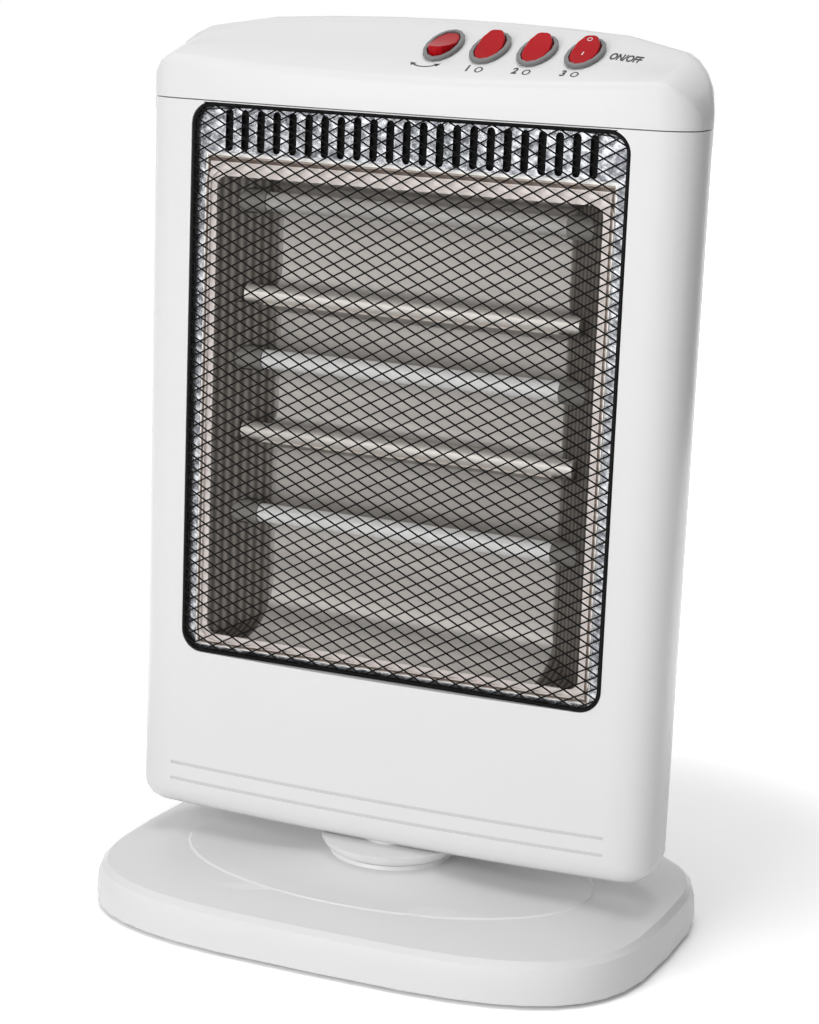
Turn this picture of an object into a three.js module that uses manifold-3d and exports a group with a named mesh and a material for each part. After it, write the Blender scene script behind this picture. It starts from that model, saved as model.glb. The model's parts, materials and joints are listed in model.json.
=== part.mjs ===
// Oscillating halogen heater: a moulded housing with three horizontal lamps in front of a folded
// reflector, a diamond mesh guard, a sloping switch panel, and a wide foot that it swings on.
// Millimetres, +Z up, front towards -Y. The origin is on the floor under the middle of the foot.
import * as THREE from "three";
import { mergeVertices } from "three/addons/utils/BufferGeometryUtils.js";
import Module from "manifold-3d";

const wasm = await Module();
wasm.setup();

// ---------------------------------------------------------------- clearances
const SEAT = 0.3; // between a piece and what it rests on
const FIT = 0.5; // between a piece and the opening it sits in
const WELD = 1e-4; // vertices closer than this are one
const PAST = 1; // how far a cutting shape runs past the face it opens
const NEARLY = 0.01; // a slot's end radius stays this much under half its width

// ---------------------------------------------------------------- segments round a circle
const WIDE_CIRCLE = 32;
const CIRCLE = 28;
const MIDDLE_CIRCLE = 20;
const SMALL_CIRCLE = 16;
const LAMP_CAP_CIRCLE = 12;
const CORNER_CURVE = 6;
const BACK_CURVE = 5;
const BEZEL_CURVE = 8;

// ---------------------------------------------------------------- foot
const FOOT_HALF_WIDTH = 172;
const FOOT_HALF_DEPTH = 122;
const FOOT_POWER = 3.4; // how square the corners are
const FOOT_EDGE_HEIGHT = 27.6;
const FOOT_EDGE_RADIUS = 8.6;
const FOOT_DRAFT = 0.8;
const FOOT_TUCK = 0.8; // the skirt draws in by this much at the bottom
const FOOT_WALL = 2.5;
const FOOT_STEPS = 40;
const PAD_HEIGHT = 3;
const PAD_RADIUS = 11;
const PAD_INSET_X = 50; // side of the foot to the middle of a pad
const PAD_INSET_Y = 42;
const SKIRT_LAP = 0.4; // the skirt ends this far below the tops of the pads
const TUCK_HEIGHT = 4;
const FLOOR_PLATE_THICKNESS = 2;
const DISH_HALF_WIDTH = 125.6; // the raised oval in the top of the foot
const DISH_HALF_DEPTH = 77.3;
const DISH_AHEAD = 4; // middle of the oval ahead of the swing axis
const DISH_RISE = 6; // rim of the foot to the edge of the oval
const DISH_STEP = 0.9;
const NECK_RADIUS = 35;
const NECK_TOP = 41.8;
const NECK_WALL = 2.5;
const NECK_STEP = 2.2; // straight part under the top of the neck
const NECK_SWEEP_POWER = 2.4; // how late the top of the foot turns up into the neck
const NECK_SHARES = [0.3, 0.55, 0.75, 0.9];
const NECK_SHARES_INSIDE = [0.5, 0.85];
const SHOULDER_SHARE = 0.55; // rim of the foot to the oval
const SHOULDER_RISE_SHARE = 0.7;
const DISH_LIP_SHARE = 0.03;

const AXIS_Y = -10; // swing axis, a little ahead of the middle of the foot
const FLOOR_PLATE_Z = PAD_HEIGHT + SEAT;
const FLOOR_PLATE_TOP = FLOOR_PLATE_Z + FLOOR_PLATE_THICKNESS;

// ---------------------------------------------------------------- housing
const HOUSING_HALF_WIDTH = 165;
const HOUSING_FRONT = 27; // swing axis to the front at the middle
const FRONT_CROWN_RADIUS = 1707;
const CORNER_RADIUS = 22;
const REAR_START = 12; // where the rear curve leaves the straight side
const REAR_DEPTH = 56;
const REAR_POWER = 2.2;
const HOUSING_BOTTOM = 49.2;
const HOUSING_TOP = 472;
const HOUSING_EDGE_RADIUS = 12;
const HOUSING_TAPER = 1.5; // each side is this much narrower at the bottom
const HOUSING_WALL = 2.5;
const SEAM_Y = 16; // joint between the front and the rear moulding
const SPIGOT_HEIGHT = 6; // collar that goes up into the cap
const SPIGOT_PLAY = 1.5; // cap wall to the collar
const GROOVE_WIDTH = 1.8;
const GROOVE_DEPTH = 0.8;
const GROOVE_HEIGHTS = [67, 77];
const GROOVE_HALF_LENGTH = 138;

// ---------------------------------------------------------------- window, face plate and guard
const WINDOW_HALF_WIDTH = 132;
const WINDOW_BOTTOM = 148.4;
const WINDOW_TOP = 471.5;
const WINDOW_RADIUS = 13;
const WINDOW_FRAME = 2.2;
const PLATE_FRONT = -17.5; // front face of the face plate, from the swing axis
const PLATE_THICKNESS = 1;
const PLATE_MARGIN = 4; // the plate runs this far behind the housing
const SLOT_COUNT = 23;
const SLOT_PITCH = 10;
const SLOT_WIDTH = 4.8;
const SLOT_LENGTH = 24;
const SLOT_MIDDLE_Z = 456;
const GUARD_CELL_WIDTH = 60;
const GUARD_CELL_HEIGHT = 46;
const GUARD_WIRE = 1.5;
const GUARD_THICKNESS = 1.2;
const GUARD_BULGE = 3; // middle of the net in front of its border
const GUARD_BORDER = 2.2;
const RIM_WIDTH = 2.2;
const RIM_DEPTH = 2.2;

// ---------------------------------------------------------------- reflector and lamps
const RECESS_HALF_WIDTH = 117;
const RECESS_BOTTOM = 159.5;
const RECESS_TOP = 430;
const RECESS_RADIUS = 6;
const BEAD_OUT = 3.7; // recess edge to the bead
const BEAD_WIDTH = 3;
const BEAD_HEIGHT = 1.5;
const REFLECTOR_BACK = 13; // inner face of the back wall, from the swing axis
const REFLECTOR_SPLAY = 28; // each side wall leans in by this much
const REFLECTOR_SHEET = 0.8;
const REFLECTOR_FLANGE = 9;
const LAMP_COUNT = 3;
const LAMP_PITCH = 91.5;
const LAMP_MIDDLE_Z = 324;
const LAMP_Y = 0;
const LAMP_RADIUS = 5.7;
const LAMP_HALF_LENGTH = 96;
const LAMP_DOME_SHARE = 0.5; // the domed end is this share of the radius long
const LAMP_SHOULDER_SHARE = 0.7;
const LAMP_SHOULDER_RISE_SHARE = 0.3;
const LAMP_SOCKET = 4;
const LAMP_CAP_RADIUS = 7;
const LAMP_CAP_LENGTH = 26;
const LAMP_STUB_RADIUS = 3.5;
const STUB_HOLE_LENGTH = 20;
const LAMP_STUB_LENGTH = 8;
const CUSP_Y = -8; // sharp edge between two bays, from the swing axis
const CUSP_PITCH = 80.5;
const CUSPS_BELOW = 7.2; // middle of the cusps below the middle lamp
const FOLD_UP = 17; // height of the curve from an edge up to the back wall
const FOLD_DOWN = 9; // and from an edge down to it
const FLOOR_FOLD = 26;
const FOLD_LEAN_SHARE = 0.2; // share of a fold by which it has met the back wall
const FOLD_STEPS = 5;
const HANGER_THICKNESS = 1.2;
const HANGER_DEPTH = 20;
const CUTOUT_RADIUS = 8;
const CUTOUT_STEP_SHARE = 0.6;
const CUTOUT_TOP_SHARE = 0.7;
const CUTOUT_LENGTH = 6;

// ---------------------------------------------------------------- cap and switches
const CAP_GAP = 0.6; // the line that shows round the bottom of the cap
const CAP_PEAK = 49.9; // bottom of the cap to the ridge
const CAP_CROWN = 0.00031; // fall of the ridge per square millimetre
const CAP_END_POWER = 12;
const CAP_END_ROUND = 2.5;
const CAP_CREASE = 19; // cap joint to the crease at the middle
const CAP_CREASE_SMILE = 0.00027;
const CAP_WALL = 2.5;
const CREASE_LIMIT_SHARE = 0.62; // the crease stays under this share of the ridge
const CREASE_PROFILE_SHARES = [
  [0, 0.8],
  [0.012, 0.95],
]; // share of the depth, share of the crease's height
const PANEL_START_SHARE = 0.04;
const RIDGE_LEAD_SHARE = 0.972;
const REAR_PROFILE_SHARES = [
  [0.83, 0.985],
  [0.91, 0.92],
  [0.965, 0.8],
  [0.993, 0.64],
  [1, 0.48],
]; // share of the depth, share of the ridge's height
const CAP_END_SHARE = 0.9985; // the last section stands this near to the end
const PANEL_END = 0.6; // share of the depth where the flat panel ends
const PANEL_END_HEIGHT = 0.9;
const RIDGE_SHARE = 0.74;
const SWITCH_COUNT = 4;
const SWITCH_PITCH = 27.8;
const SWITCH_FIRST_X = 9;
const SWITCH_Y = 9;
const BEZEL_HALF_WIDTH = 10.5;
const BEZEL_HALF_LENGTH = 18.5;
const BEZEL_EDGE = 0.6;
const CAVITY_SPARE = 3;
const BEZEL_HEIGHT = 2;
const BARREL_HALF_WIDTH = 9.3;
const BARREL_HALF_LENGTH = 17;
const BARREL_DEPTH = 14;
const ROCKER_HALF_WIDTH = 7.6;
const ROCKER_RADIUS = 14.8; // rocker ends, round the pivot
const ROCKER_END_PLAY = 1.2; // room for the ends to swing in
const ROCKER_END_EDGE = 0.1; // the plan of a rocker runs this far past its round ends
const ROCKER_PIVOT_DEPTH = 1;
const ROCKER_END_HEIGHT = 4.4;
const ROCKER_MIDDLE_HEIGHT = 3.2;
const ROCKER_BELOW = 6;
const ROCKER_TILT = THREE.MathUtils.degToRad(10);
const ROCKERS_PRESSED_AT_FRONT = [1, 2, 3];

// ---------------------------------------------------------------- swing mechanism
const POST_RADIUS = 12;
const POST_BORE = 8;
const POST_FLANGE_RADIUS = 24;
const POST_FLANGE_THICKNESS = 2.5;
const POST_TAIL = 12; // tube below the flange
const STUD_RADIUS = 9.5;
const COLLAR_TOP_RADIUS = 41.5;
const COLLAR_BOTTOM_RADIUS = 36.5;
const COLLAR_LAP = 5; // the collar's rim overhangs its seat by this much inside the neck's edge
const COLLAR_SHARES = [0, 0.35, 0.7, 1];
const COLLAR_GAP = 0.8; // the line that shows between collar and neck
const HUB_RADIUS = 18;
const HUB_RISE = 5; // hub above the housing floor
const WASHER_THICKNESS = 2.4;
const ARM_THICKNESS = 2.5;
const ARM_RIM = 4;
const NUT_RADIUS = 15;
const NUT_SIDES = 6;
const NUT_HEIGHT = 5;
const SWING_LIMIT = THREE.MathUtils.degToRad(35);
const MOTOR_OFFSET = 33; // swing axis to motor shaft
const CRANK_THROW = MOTOR_OFFSET * Math.sin(SWING_LIMIT);
const CRANK_LIMIT = THREE.MathUtils.degToRad(108);
const CRANK_PIN_RADIUS = 2;
const CRANK_THICKNESS = 3;
const CRANK_HUB_RADIUS = 6.5;
const CRANK_HUB_HEIGHT = 3;
const SLOT_PLAY = 1.7; // the pin drifts this far off the middle of the arm's slot
const CRANK_RISE = 3; // top of the post to the crank
const SHAFT_SPACE = 2;
const SHAFT_RADIUS = 3.2;
const MOTOR_RADIUS = 25;
const MOTOR_HEIGHT = 18;
const BRIDGE_HALF_WIDTH = 44;
const BRIDGE_DEPTH = 20;
const BRIDGE_THICKNESS = 1.5;
const BRIDGE_FOOT = 9;

// ---------------------------------------------------------------- rear, gland and tip-over switch
const LOUVRE_HALF_LENGTH = 42;
const LOUVRE_HEIGHT = 4;
const LOUVRE_PITCH = 12;
const LOUVRE_COLUMN_X = 52;
const LOUVRE_GROUPS = [
  { lowest: 92, rows: 4 },
  { lowest: 330, rows: 6 },
];
const GRIP_HALF_WIDTH = 55;
const GRIP_HALF_HEIGHT = 15;
const GRIP_CORNER_SHARE = 0.6; // corner radius as a share of half the height
const GRIP_DEPTH = 20;
const GRIP_Z = 432;
const GRIP_WALL = 2.5;
const GLAND_BORE = 3.6;
const GLAND_RADIUS = 6;
const GLAND_FLANGE_RADIUS = 9;
const GLAND_FLANGE = 2;
const GLAND_Z = 74;
const TIP_Y = 62;
const TIP_BODY_HALF_WIDTH = 11;
const TIP_BODY_HALF_DEPTH = 7;
const TIP_BODY_HEIGHT = 12;
const TIP_PIN_RADIUS = 3;
const TIP_HEAD_RADIUS = 4.6;
const TIP_HEAD_HEIGHT = 2;
const TIP_FLOOR = 1.5;
const TIP_PIN_CHAMFER = 0.6;
const TIP_TRAVEL = 4;
const BLOCK_POLES = 4;
const BLOCK_HALF_LENGTH = 24;
const BLOCK_HALF_DEPTH = 9;
const BLOCK_HEIGHT = 14;
const BLOCK_X = -90;

// ---------------------------------------------------------------- solids
function solidOf(geometry) {
  const bare = geometry.index ? geometry.toNonIndexed() : geometry.clone();
  for (const name of Object.keys(bare.attributes)) {
    if (name !== "position") bare.deleteAttribute(name);
  }
  const merged = mergeVertices(bare, WELD);
  const vertices = merged.attributes.position.array;
  const triangles = new Uint32Array(merged.index.array);
  const solid = new wasm.Manifold(
    new wasm.Mesh({ numProp: 3, vertProperties: vertices, triVerts: triangles }),
  );
  if (solid.volume() > 0) return solid;
  return new wasm.Manifold(
    new wasm.Mesh({ numProp: 3, vertProperties: vertices, triVerts: triangles.reverse() }),
  );
}

function geometryOf(solid) {
  const mesh = solid.getMesh();
  const geometry = new THREE.BufferGeometry();
  geometry.setAttribute("position", new THREE.BufferAttribute(mesh.vertProperties, 3));
  geometry.setIndex(new THREE.BufferAttribute(mesh.triVerts, 1));
  const flat = geometry.toNonIndexed();
  flat.computeVertexNormals();
  return flat;
}

// A solid that joins, cuts and meets other geometries, and gives its geometry back.
class Body {
  constructor(geometry) {
    this.solid = solidOf(geometry);
  }
  join(...geometries) {
    for (const geometry of geometries) this.solid = this.solid.add(solidOf(geometry));
    return this;
  }
  cut(...geometries) {
    for (const geometry of geometries) this.solid = this.solid.subtract(solidOf(geometry));
    return this;
  }
  meet(geometry) {
    this.solid = this.solid.intersect(solidOf(geometry));
    return this;
  }
  get geometry() {
    return geometryOf(this.solid);
  }
}

// A closed skin through rings of equal count, with a fan over each end.
function loft(rings) {
  const count = rings[0].length;
  const positions = rings.flat().flatMap((point) => [point.x, point.y, point.z]);
  const index = [];
  for (let row = 0; row < rings.length - 1; row++) {
    for (let i = 0; i < count; i++) {
      const next = (i + 1) % count;
      const [a, b] = [row * count + i, row * count + next];
      const [c, d] = [a + count, b + count];
      index.push(a, b, d, a, d, c);
    }
  }
  for (const row of [0, rings.length - 1]) {
    const middle = rings[row].reduce((sum, point) => sum.add(point), new THREE.Vector3());
    middle.divideScalar(count);
    const hub = positions.length / 3;
    positions.push(middle.x, middle.y, middle.z);
    for (let i = 0; i < count; i++) {
      const [a, b] = [row * count + i, row * count + ((i + 1) % count)];
      if (row === 0) index.push(b, a, hub);
      else index.push(a, b, hub);
    }
  }
  const geometry = new THREE.BufferGeometry();
  geometry.setAttribute("position", new THREE.Float32BufferAttribute(positions, 3));
  geometry.setIndex(index);
  return geometry;
}

function box(x0, x1, y0, y1, z0, z1) {
  const geometry = new THREE.BoxGeometry(x1 - x0, y1 - y0, z1 - z0);
  return geometry.translate((x0 + x1) / 2, (y0 + y1) / 2, (z0 + z1) / 2);
}

// An outline in plan, raised from z0 to z1.
function raised(shape, z0, z1) {
  const options = { depth: z1 - z0, bevelEnabled: false, curveSegments: CORNER_CURVE };
  return new THREE.ExtrudeGeometry(shape, options).translate(0, 0, z0);
}

// An outline drawn in x and z, run from y0 back to y1.
function runBack(shape, y0, y1, segments = BACK_CURVE) {
  const options = { depth: y1 - y0, bevelEnabled: false, curveSegments: segments };
  return new THREE.ExtrudeGeometry(shape, options).rotateX(Math.PI / 2).translate(0, y1, 0);
}

// An outline drawn in y and z, run from x0 across to x1.
function runAcross(shape, x0, x1) {
  const options = { depth: x1 - x0, bevelEnabled: false, curveSegments: CORNER_CURVE };
  const [alongX, alongY, alongZ] = [0, 1, 2].map((axis) =>
    new THREE.Vector3().setComponent(axis, 1),
  );
  return new THREE.ExtrudeGeometry(shape, options)
    .applyMatrix4(new THREE.Matrix4().makeBasis(alongY, alongZ, alongX))
    .translate(x0, 0, 0);
}

// A profile of [radius, z] corners turned about the z axis.
function turned(profile, segments) {
  const points = [...profile, profile[0]].map(([radius, z]) => new THREE.Vector2(radius, z));
  return new THREE.LatheGeometry(points, segments).rotateX(Math.PI / 2);
}

function roundedRectangle(x0, x1, z0, z1, radius) {
  const shape = new THREE.Shape();
  shape.moveTo(x0 + radius, z0);
  shape.lineTo(x1 - radius, z0);
  shape.absarc(x1 - radius, z0 + radius, radius, -Math.PI / 2, 0, false);
  shape.lineTo(x1, z1 - radius);
  shape.absarc(x1 - radius, z1 - radius, radius, 0, Math.PI / 2, false);
  shape.lineTo(x0 + radius, z1);
  shape.absarc(x0 + radius, z1 - radius, radius, Math.PI / 2, Math.PI, false);
  shape.lineTo(x0, z0 + radius);
  shape.absarc(x0 + radius, z0 + radius, radius, Math.PI, (Math.PI * 3) / 2, false);
  return shape;
}

function ellipse(halfWidth, halfLength) {
  const shape = new THREE.Shape();
  shape.absellipse(0, 0, halfWidth, halfLength, 0, Math.PI * 2, false, 0);
  return shape;
}

function polygon(corners) {
  return new THREE.Shape(corners.map(([u, v]) => new THREE.Vector2(u, v)));
}

function ringAround(geometryOfShape, outer, inner) {
  return new Body(geometryOfShape(outer)).cut(geometryOfShape(inner)).geometry;
}

// ---------------------------------------------------------------- materials
const finish = (color, roughness, metalness = 0) => ({ color, roughness, metalness });
const WHITE = finish(0xeceaec, 0.22);
const BLACK_WIRE = finish(0x111113, 0.45, 0.3);
const BRIGHT_ALUMINIUM = finish(0xc9cacb, 0.22, 1);
const STEEL = finish(0xa9abad, 0.4, 1);
const LAMP_GLASS = finish(0xe9ecef, 0.08);
const CERAMIC = finish(0xd8d2c6, 0.6);
const GREY_PLASTIC = finish(0x8b8c90, 0.45);
const RED_PLASTIC = finish(0xc41c2c, 0.3);
const BLACK_RUBBER = finish(0x161616, 0.85);
const DARK_PLASTIC = finish(0x2a2a2c, 0.6);

const heater = new THREE.Group();
const stand = new THREE.Group();
const head = new THREE.Group();
head.position.y = AXIS_Y;
heater.add(stand, head);

function addPiece(parent, name, geometry, look) {
  const material = new THREE.MeshStandardMaterial(look);
  const mesh = new THREE.Mesh(geometry, material);
  mesh.name = name;
  parent.add(mesh);
  return mesh;
}

// ---------------------------------------------------------------- foot moulding
const signedPower = (value, power) => Math.sign(value) * Math.abs(value) ** power;

// Outline of the foot in plan, drawn in by inset.
function footOutline(inset) {
  const points = [];
  for (let i = 0; i < FOOT_STEPS; i++) {
    const angle = (i / FOOT_STEPS) * Math.PI * 2;
    const x = (FOOT_HALF_WIDTH - inset) * signedPower(Math.cos(angle), 2 / FOOT_POWER);
    const y = (FOOT_HALF_DEPTH - inset) * signedPower(Math.sin(angle), 2 / FOOT_POWER);
    points.push(new THREE.Vector2(x, y));
  }
  return points;
}

// An oval round the swing axis: ahead is how far its middle lies in front of the axis.
function ovalOutline(halfWidth, halfDepth, ahead) {
  const points = [];
  for (let i = 0; i < FOOT_STEPS; i++) {
    const angle = (i / FOOT_STEPS) * Math.PI * 2;
    const x = halfWidth * Math.cos(angle);
    const y = AXIS_Y - ahead + halfDepth * Math.sin(angle);
    points.push(new THREE.Vector2(x, y));
  }
  return points;
}

const atHeight = (outline, z) => outline.map((point) => new THREE.Vector3(point.x, point.y, z));

function blended(from, to, share) {
  return from.map((point, i) => point.clone().lerp(to[i], share));
}

const DISH_Z = FOOT_EDGE_HEIGHT + DISH_RISE;
const NECK_FOOT_Z = NECK_TOP - NECK_STEP;

// Rings of the foot's skin; wall draws them in and down for the inside.
function footRings(wall) {
  const straightTop = FOOT_EDGE_HEIGHT - FOOT_EDGE_RADIUS;
  const rings = [];
  const bottom = wall > 0 ? -PAST : PAD_HEIGHT - SKIRT_LAP;
  rings.push(atHeight(footOutline(wall + FOOT_TUCK), bottom));
  rings.push(atHeight(footOutline(wall), PAD_HEIGHT + TUCK_HEIGHT));
  const edgeSteps = wall > 0 ? 2 : 3;
  for (let step = 0; step <= edgeSteps; step++) {
    const angle = (step / edgeSteps) * (Math.PI / 2);
    const inset = FOOT_DRAFT + FOOT_EDGE_RADIUS * (1 - Math.cos(angle));
    const z = straightTop + FOOT_EDGE_RADIUS * Math.sin(angle);
    rings.push(atHeight(footOutline(wall + inset), z - wall));
  }
  const rim = footOutline(wall + FOOT_DRAFT + FOOT_EDGE_RADIUS);
  const dish = ovalOutline(DISH_HALF_WIDTH - wall, DISH_HALF_DEPTH - wall, DISH_AHEAD);
  const neck = ovalOutline(NECK_RADIUS + 1 - wall, NECK_RADIUS + 1 - wall, 0);
  const shoulder = FOOT_EDGE_HEIGHT + DISH_RISE * SHOULDER_RISE_SHARE;
  rings.push(atHeight(blended(rim, dish, SHOULDER_SHARE), shoulder - wall));
  if (wall === 0) {
    rings.push(atHeight(blended(dish, rim, DISH_LIP_SHARE), DISH_Z - DISH_STEP));
    rings.push(atHeight(dish, DISH_Z));
  }
  for (const share of wall > 0 ? NECK_SHARES_INSIDE : NECK_SHARES) {
    const z = DISH_Z + (NECK_FOOT_Z - DISH_Z) * share ** NECK_SWEEP_POWER;
    rings.push(atHeight(blended(dish, neck, share), z - wall));
  }
  rings.push(atHeight(neck, NECK_FOOT_Z - wall));
  rings.push(atHeight(ovalOutline(NECK_RADIUS - wall, NECK_RADIUS - wall, 0), NECK_TOP - wall));
  return rings;
}

const axisHole = (radius, z0, z1, segments = WIDE_CIRCLE) =>
  new THREE.CylinderGeometry(radius, radius, z1 - z0, segments)
    .rotateX(Math.PI / 2)
    .translate(0, AXIS_Y, (z0 + z1) / 2);

function footCover() {
  return new Body(loft(footRings(0)))
    .cut(loft(footRings(FOOT_WALL)))
    .cut(axisHole(POST_RADIUS + FIT, NECK_TOP - 2 * NECK_WALL, NECK_TOP + PAST)).geometry;
}

function floorPlate() {
  const shape = new THREE.Shape(footOutline(FOOT_WALL + FOOT_TUCK + SEAT / 2));
  const pinHole = new THREE.Path();
  pinHole.absarc(0, TIP_Y, TIP_PIN_RADIUS + FIT, 0, Math.PI * 2, false);
  shape.holes.push(pinHole);
  return raised(shape, FLOOR_PLATE_Z, FLOOR_PLATE_TOP);
}

addPiece(stand, "foot_cover", footCover(), WHITE);
addPiece(stand, "floor_plate", floorPlate(), STEEL);
const PAD_X = FOOT_HALF_WIDTH - PAD_INSET_X;
const PAD_Y = FOOT_HALF_DEPTH - PAD_INSET_Y;
for (const [side, x] of [["left", -PAD_X], ["right", PAD_X]]) {
  for (const [end, y] of [["front", -PAD_Y], ["rear", PAD_Y]]) {
    const profile = [
      [0, 0],
      [PAD_RADIUS - 1, 0],
      [PAD_RADIUS, 1],
      [PAD_RADIUS, PAD_HEIGHT],
      [0, PAD_HEIGHT],
    ];
    const pad = addPiece(stand, `pad_${end}_${side}`, turned(profile, SMALL_CIRCLE), BLACK_RUBBER);
    pad.position.set(x, y, 0);
  }
}

// ---------------------------------------------------------------- pivot post and its stack
const COLLAR_SEAT_Z = NECK_TOP + SEAT;
const FLOOR_TOP = HOUSING_BOTTOM + HOUSING_WALL;
const HUB_TOP = FLOOR_TOP + HUB_RISE;
const WASHER_Z = HUB_TOP + SEAT;
const SHOULDER_Z = WASHER_Z + WASHER_THICKNESS + SEAT;
const ARM_Z = SHOULDER_Z + SEAT;
const NUT_Z = ARM_Z + ARM_THICKNESS + SEAT;
const STUD_TOP = NUT_Z + NUT_HEIGHT - 1;
const POST_FLANGE_TOP = NECK_TOP - NECK_WALL - SEAT;

function pivotPost() {
  const flangeBottom = POST_FLANGE_TOP - POST_FLANGE_THICKNESS;
  return turned(
    [
      [POST_BORE, flangeBottom - POST_TAIL],
      [POST_RADIUS, flangeBottom - POST_TAIL],
      [POST_RADIUS, flangeBottom],
      [POST_FLANGE_RADIUS, flangeBottom],
      [POST_FLANGE_RADIUS, POST_FLANGE_TOP],
      [POST_RADIUS, POST_FLANGE_TOP],
      [POST_RADIUS, SHOULDER_Z],
      [STUD_RADIUS, SHOULDER_Z],
      [STUD_RADIUS, STUD_TOP],
      [POST_BORE, STUD_TOP],
    ],
    CIRCLE,
  );
}

function collar() {
  const top = HOUSING_BOTTOM - SEAT;
  const bottom = NECK_TOP + COLLAR_GAP;
  const bowl = COLLAR_SHARES.map((share) => [
    COLLAR_BOTTOM_RADIUS + (COLLAR_TOP_RADIUS - COLLAR_BOTTOM_RADIUS) * Math.sqrt(share),
    bottom + (top - bottom) * share,
  ]);
  return turned(
    [
      [POST_RADIUS + FIT, COLLAR_SEAT_Z],
      [NECK_RADIUS - COLLAR_LAP, COLLAR_SEAT_Z],
      [NECK_RADIUS - COLLAR_LAP, bottom],
      ...bowl,
      [HUB_RADIUS, top],
      [HUB_RADIUS, HUB_TOP],
      [POST_RADIUS + FIT, HUB_TOP],
    ],
    WIDE_CIRCLE,
  );
}

function thrustWasher() {
  return turned(
    [
      [POST_RADIUS + FIT, WASHER_Z],
      [HUB_RADIUS, WASHER_Z],
      [HUB_RADIUS, WASHER_Z + WASHER_THICKNESS],
      [POST_RADIUS + FIT, WASHER_Z + WASHER_THICKNESS],
    ],
    CIRCLE,
  );
}

// The arm is fixed to the post; its long slot holds the crank pin.
const PIN_FAR = MOTOR_OFFSET + CRANK_THROW;
const PIN_NEAR = Math.hypot(
  CRANK_THROW * Math.sin(CRANK_LIMIT),
  MOTOR_OFFSET + CRANK_THROW * Math.cos(CRANK_LIMIT),
);
const SLOT_HALF_WIDTH = CRANK_PIN_RADIUS + SLOT_PLAY + SEAT;

function slottedBar(halfWidth, nearEnd, farEnd) {
  const shape = new THREE.Shape();
  shape.moveTo(halfWidth, nearEnd);
  shape.lineTo(halfWidth, farEnd);
  shape.absarc(0, farEnd, halfWidth, 0, Math.PI, false);
  shape.lineTo(-halfWidth, nearEnd);
  shape.absarc(0, nearEnd, halfWidth, Math.PI, Math.PI * 2, false);
  return shape;
}

function driveArm() {
  const top = ARM_Z + ARM_THICKNESS;
  const slot = slottedBar(SLOT_HALF_WIDTH, PIN_NEAR, PIN_FAR);
  const disc = new THREE.CylinderGeometry(NUT_RADIUS, NUT_RADIUS, ARM_THICKNESS, CIRCLE)
    .rotateX(Math.PI / 2)
    .translate(0, 0, ARM_Z + ARM_THICKNESS / 2);
  const boltRadius = STUD_RADIUS + SEAT;
  const hole = new THREE.CylinderGeometry(boltRadius, boltRadius, 3 * ARM_THICKNESS, CIRCLE)
    .rotateX(Math.PI / 2)
    .translate(0, 0, ARM_Z);
  return new Body(raised(slottedBar(SLOT_HALF_WIDTH + ARM_RIM, 0, PIN_FAR), ARM_Z, top))
    .join(disc)
    .cut(raised(slot, ARM_Z - PAST, top + PAST))
    .cut(hole).geometry;
}

function pivotNut() {
  const hexagon = new THREE.CylinderGeometry(NUT_RADIUS, NUT_RADIUS, NUT_HEIGHT, NUT_SIDES);
  const boltRadius = STUD_RADIUS + SEAT;
  const bore = new THREE.CylinderGeometry(boltRadius, boltRadius, 2 * NUT_HEIGHT, CIRCLE);
  const nut = new Body(hexagon).cut(bore).geometry;
  return nut.rotateX(Math.PI / 2).translate(0, 0, NUT_Z + NUT_HEIGHT / 2);
}

for (const [name, geometry, look] of [
  ["pivot_post", pivotPost(), STEEL],
  ["thrust_washer", thrustWasher(), STEEL],
  ["drive_arm", driveArm(), STEEL],
  ["pivot_nut", pivotNut(), STEEL],
]) {
  addPiece(stand, name, geometry, look).position.y = AXIS_Y;
}
addPiece(head, "collar", collar(), WHITE);

// ---------------------------------------------------------------- tip-over switch and gland
const TIP_BODY_Z = FLOOR_PLATE_TOP + SEAT;
const TIP_HEAD_Z = TIP_BODY_Z + TIP_TRAVEL + 2 * SEAT + TIP_FLOOR;

function tipSwitchBody() {
  const floor = TIP_BODY_Z + TIP_FLOOR;
  const roof = TIP_BODY_Z + TIP_BODY_HEIGHT;
  const bore = (radius, z0, z1) =>
    new THREE.CylinderGeometry(radius, radius, z1 - z0, SMALL_CIRCLE)
      .rotateX(Math.PI / 2)
      .translate(0, 0, (z0 + z1) / 2);
  const [halfWidth, halfDepth] = [TIP_BODY_HALF_WIDTH, TIP_BODY_HALF_DEPTH];
  return new Body(box(-halfWidth, halfWidth, -halfDepth, halfDepth, TIP_BODY_Z, roof))
    .cut(bore(TIP_PIN_RADIUS + FIT, TIP_BODY_Z - PAST, roof))
    .cut(bore(TIP_HEAD_RADIUS + FIT, floor, roof + PAST)).geometry;
}

function tipPlunger() {
  return turned(
    [
      [0, 0],
      [TIP_PIN_RADIUS - TIP_PIN_CHAMFER, 0],
      [TIP_PIN_RADIUS, TIP_PIN_CHAMFER],
      [TIP_PIN_RADIUS, TIP_HEAD_Z],
      [TIP_HEAD_RADIUS, TIP_HEAD_Z],
      [TIP_HEAD_RADIUS, TIP_HEAD_Z + TIP_HEAD_HEIGHT],
      [0, TIP_HEAD_Z + TIP_HEAD_HEIGHT],
    ],
    SMALL_CIRCLE,
  );
}

function gland() {
  const inner = -HOUSING_WALL - GLAND_FLANGE;
  const outer = SEAT + GLAND_FLANGE;
  return turned(
    [
      [GLAND_BORE, inner],
      [GLAND_RADIUS, inner],
      [GLAND_RADIUS, SEAT],
      [GLAND_FLANGE_RADIUS, SEAT],
      [GLAND_FLANGE_RADIUS - 1, outer],
      [GLAND_BORE, outer],
    ],
    MIDDLE_CIRCLE,
  );
}

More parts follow.
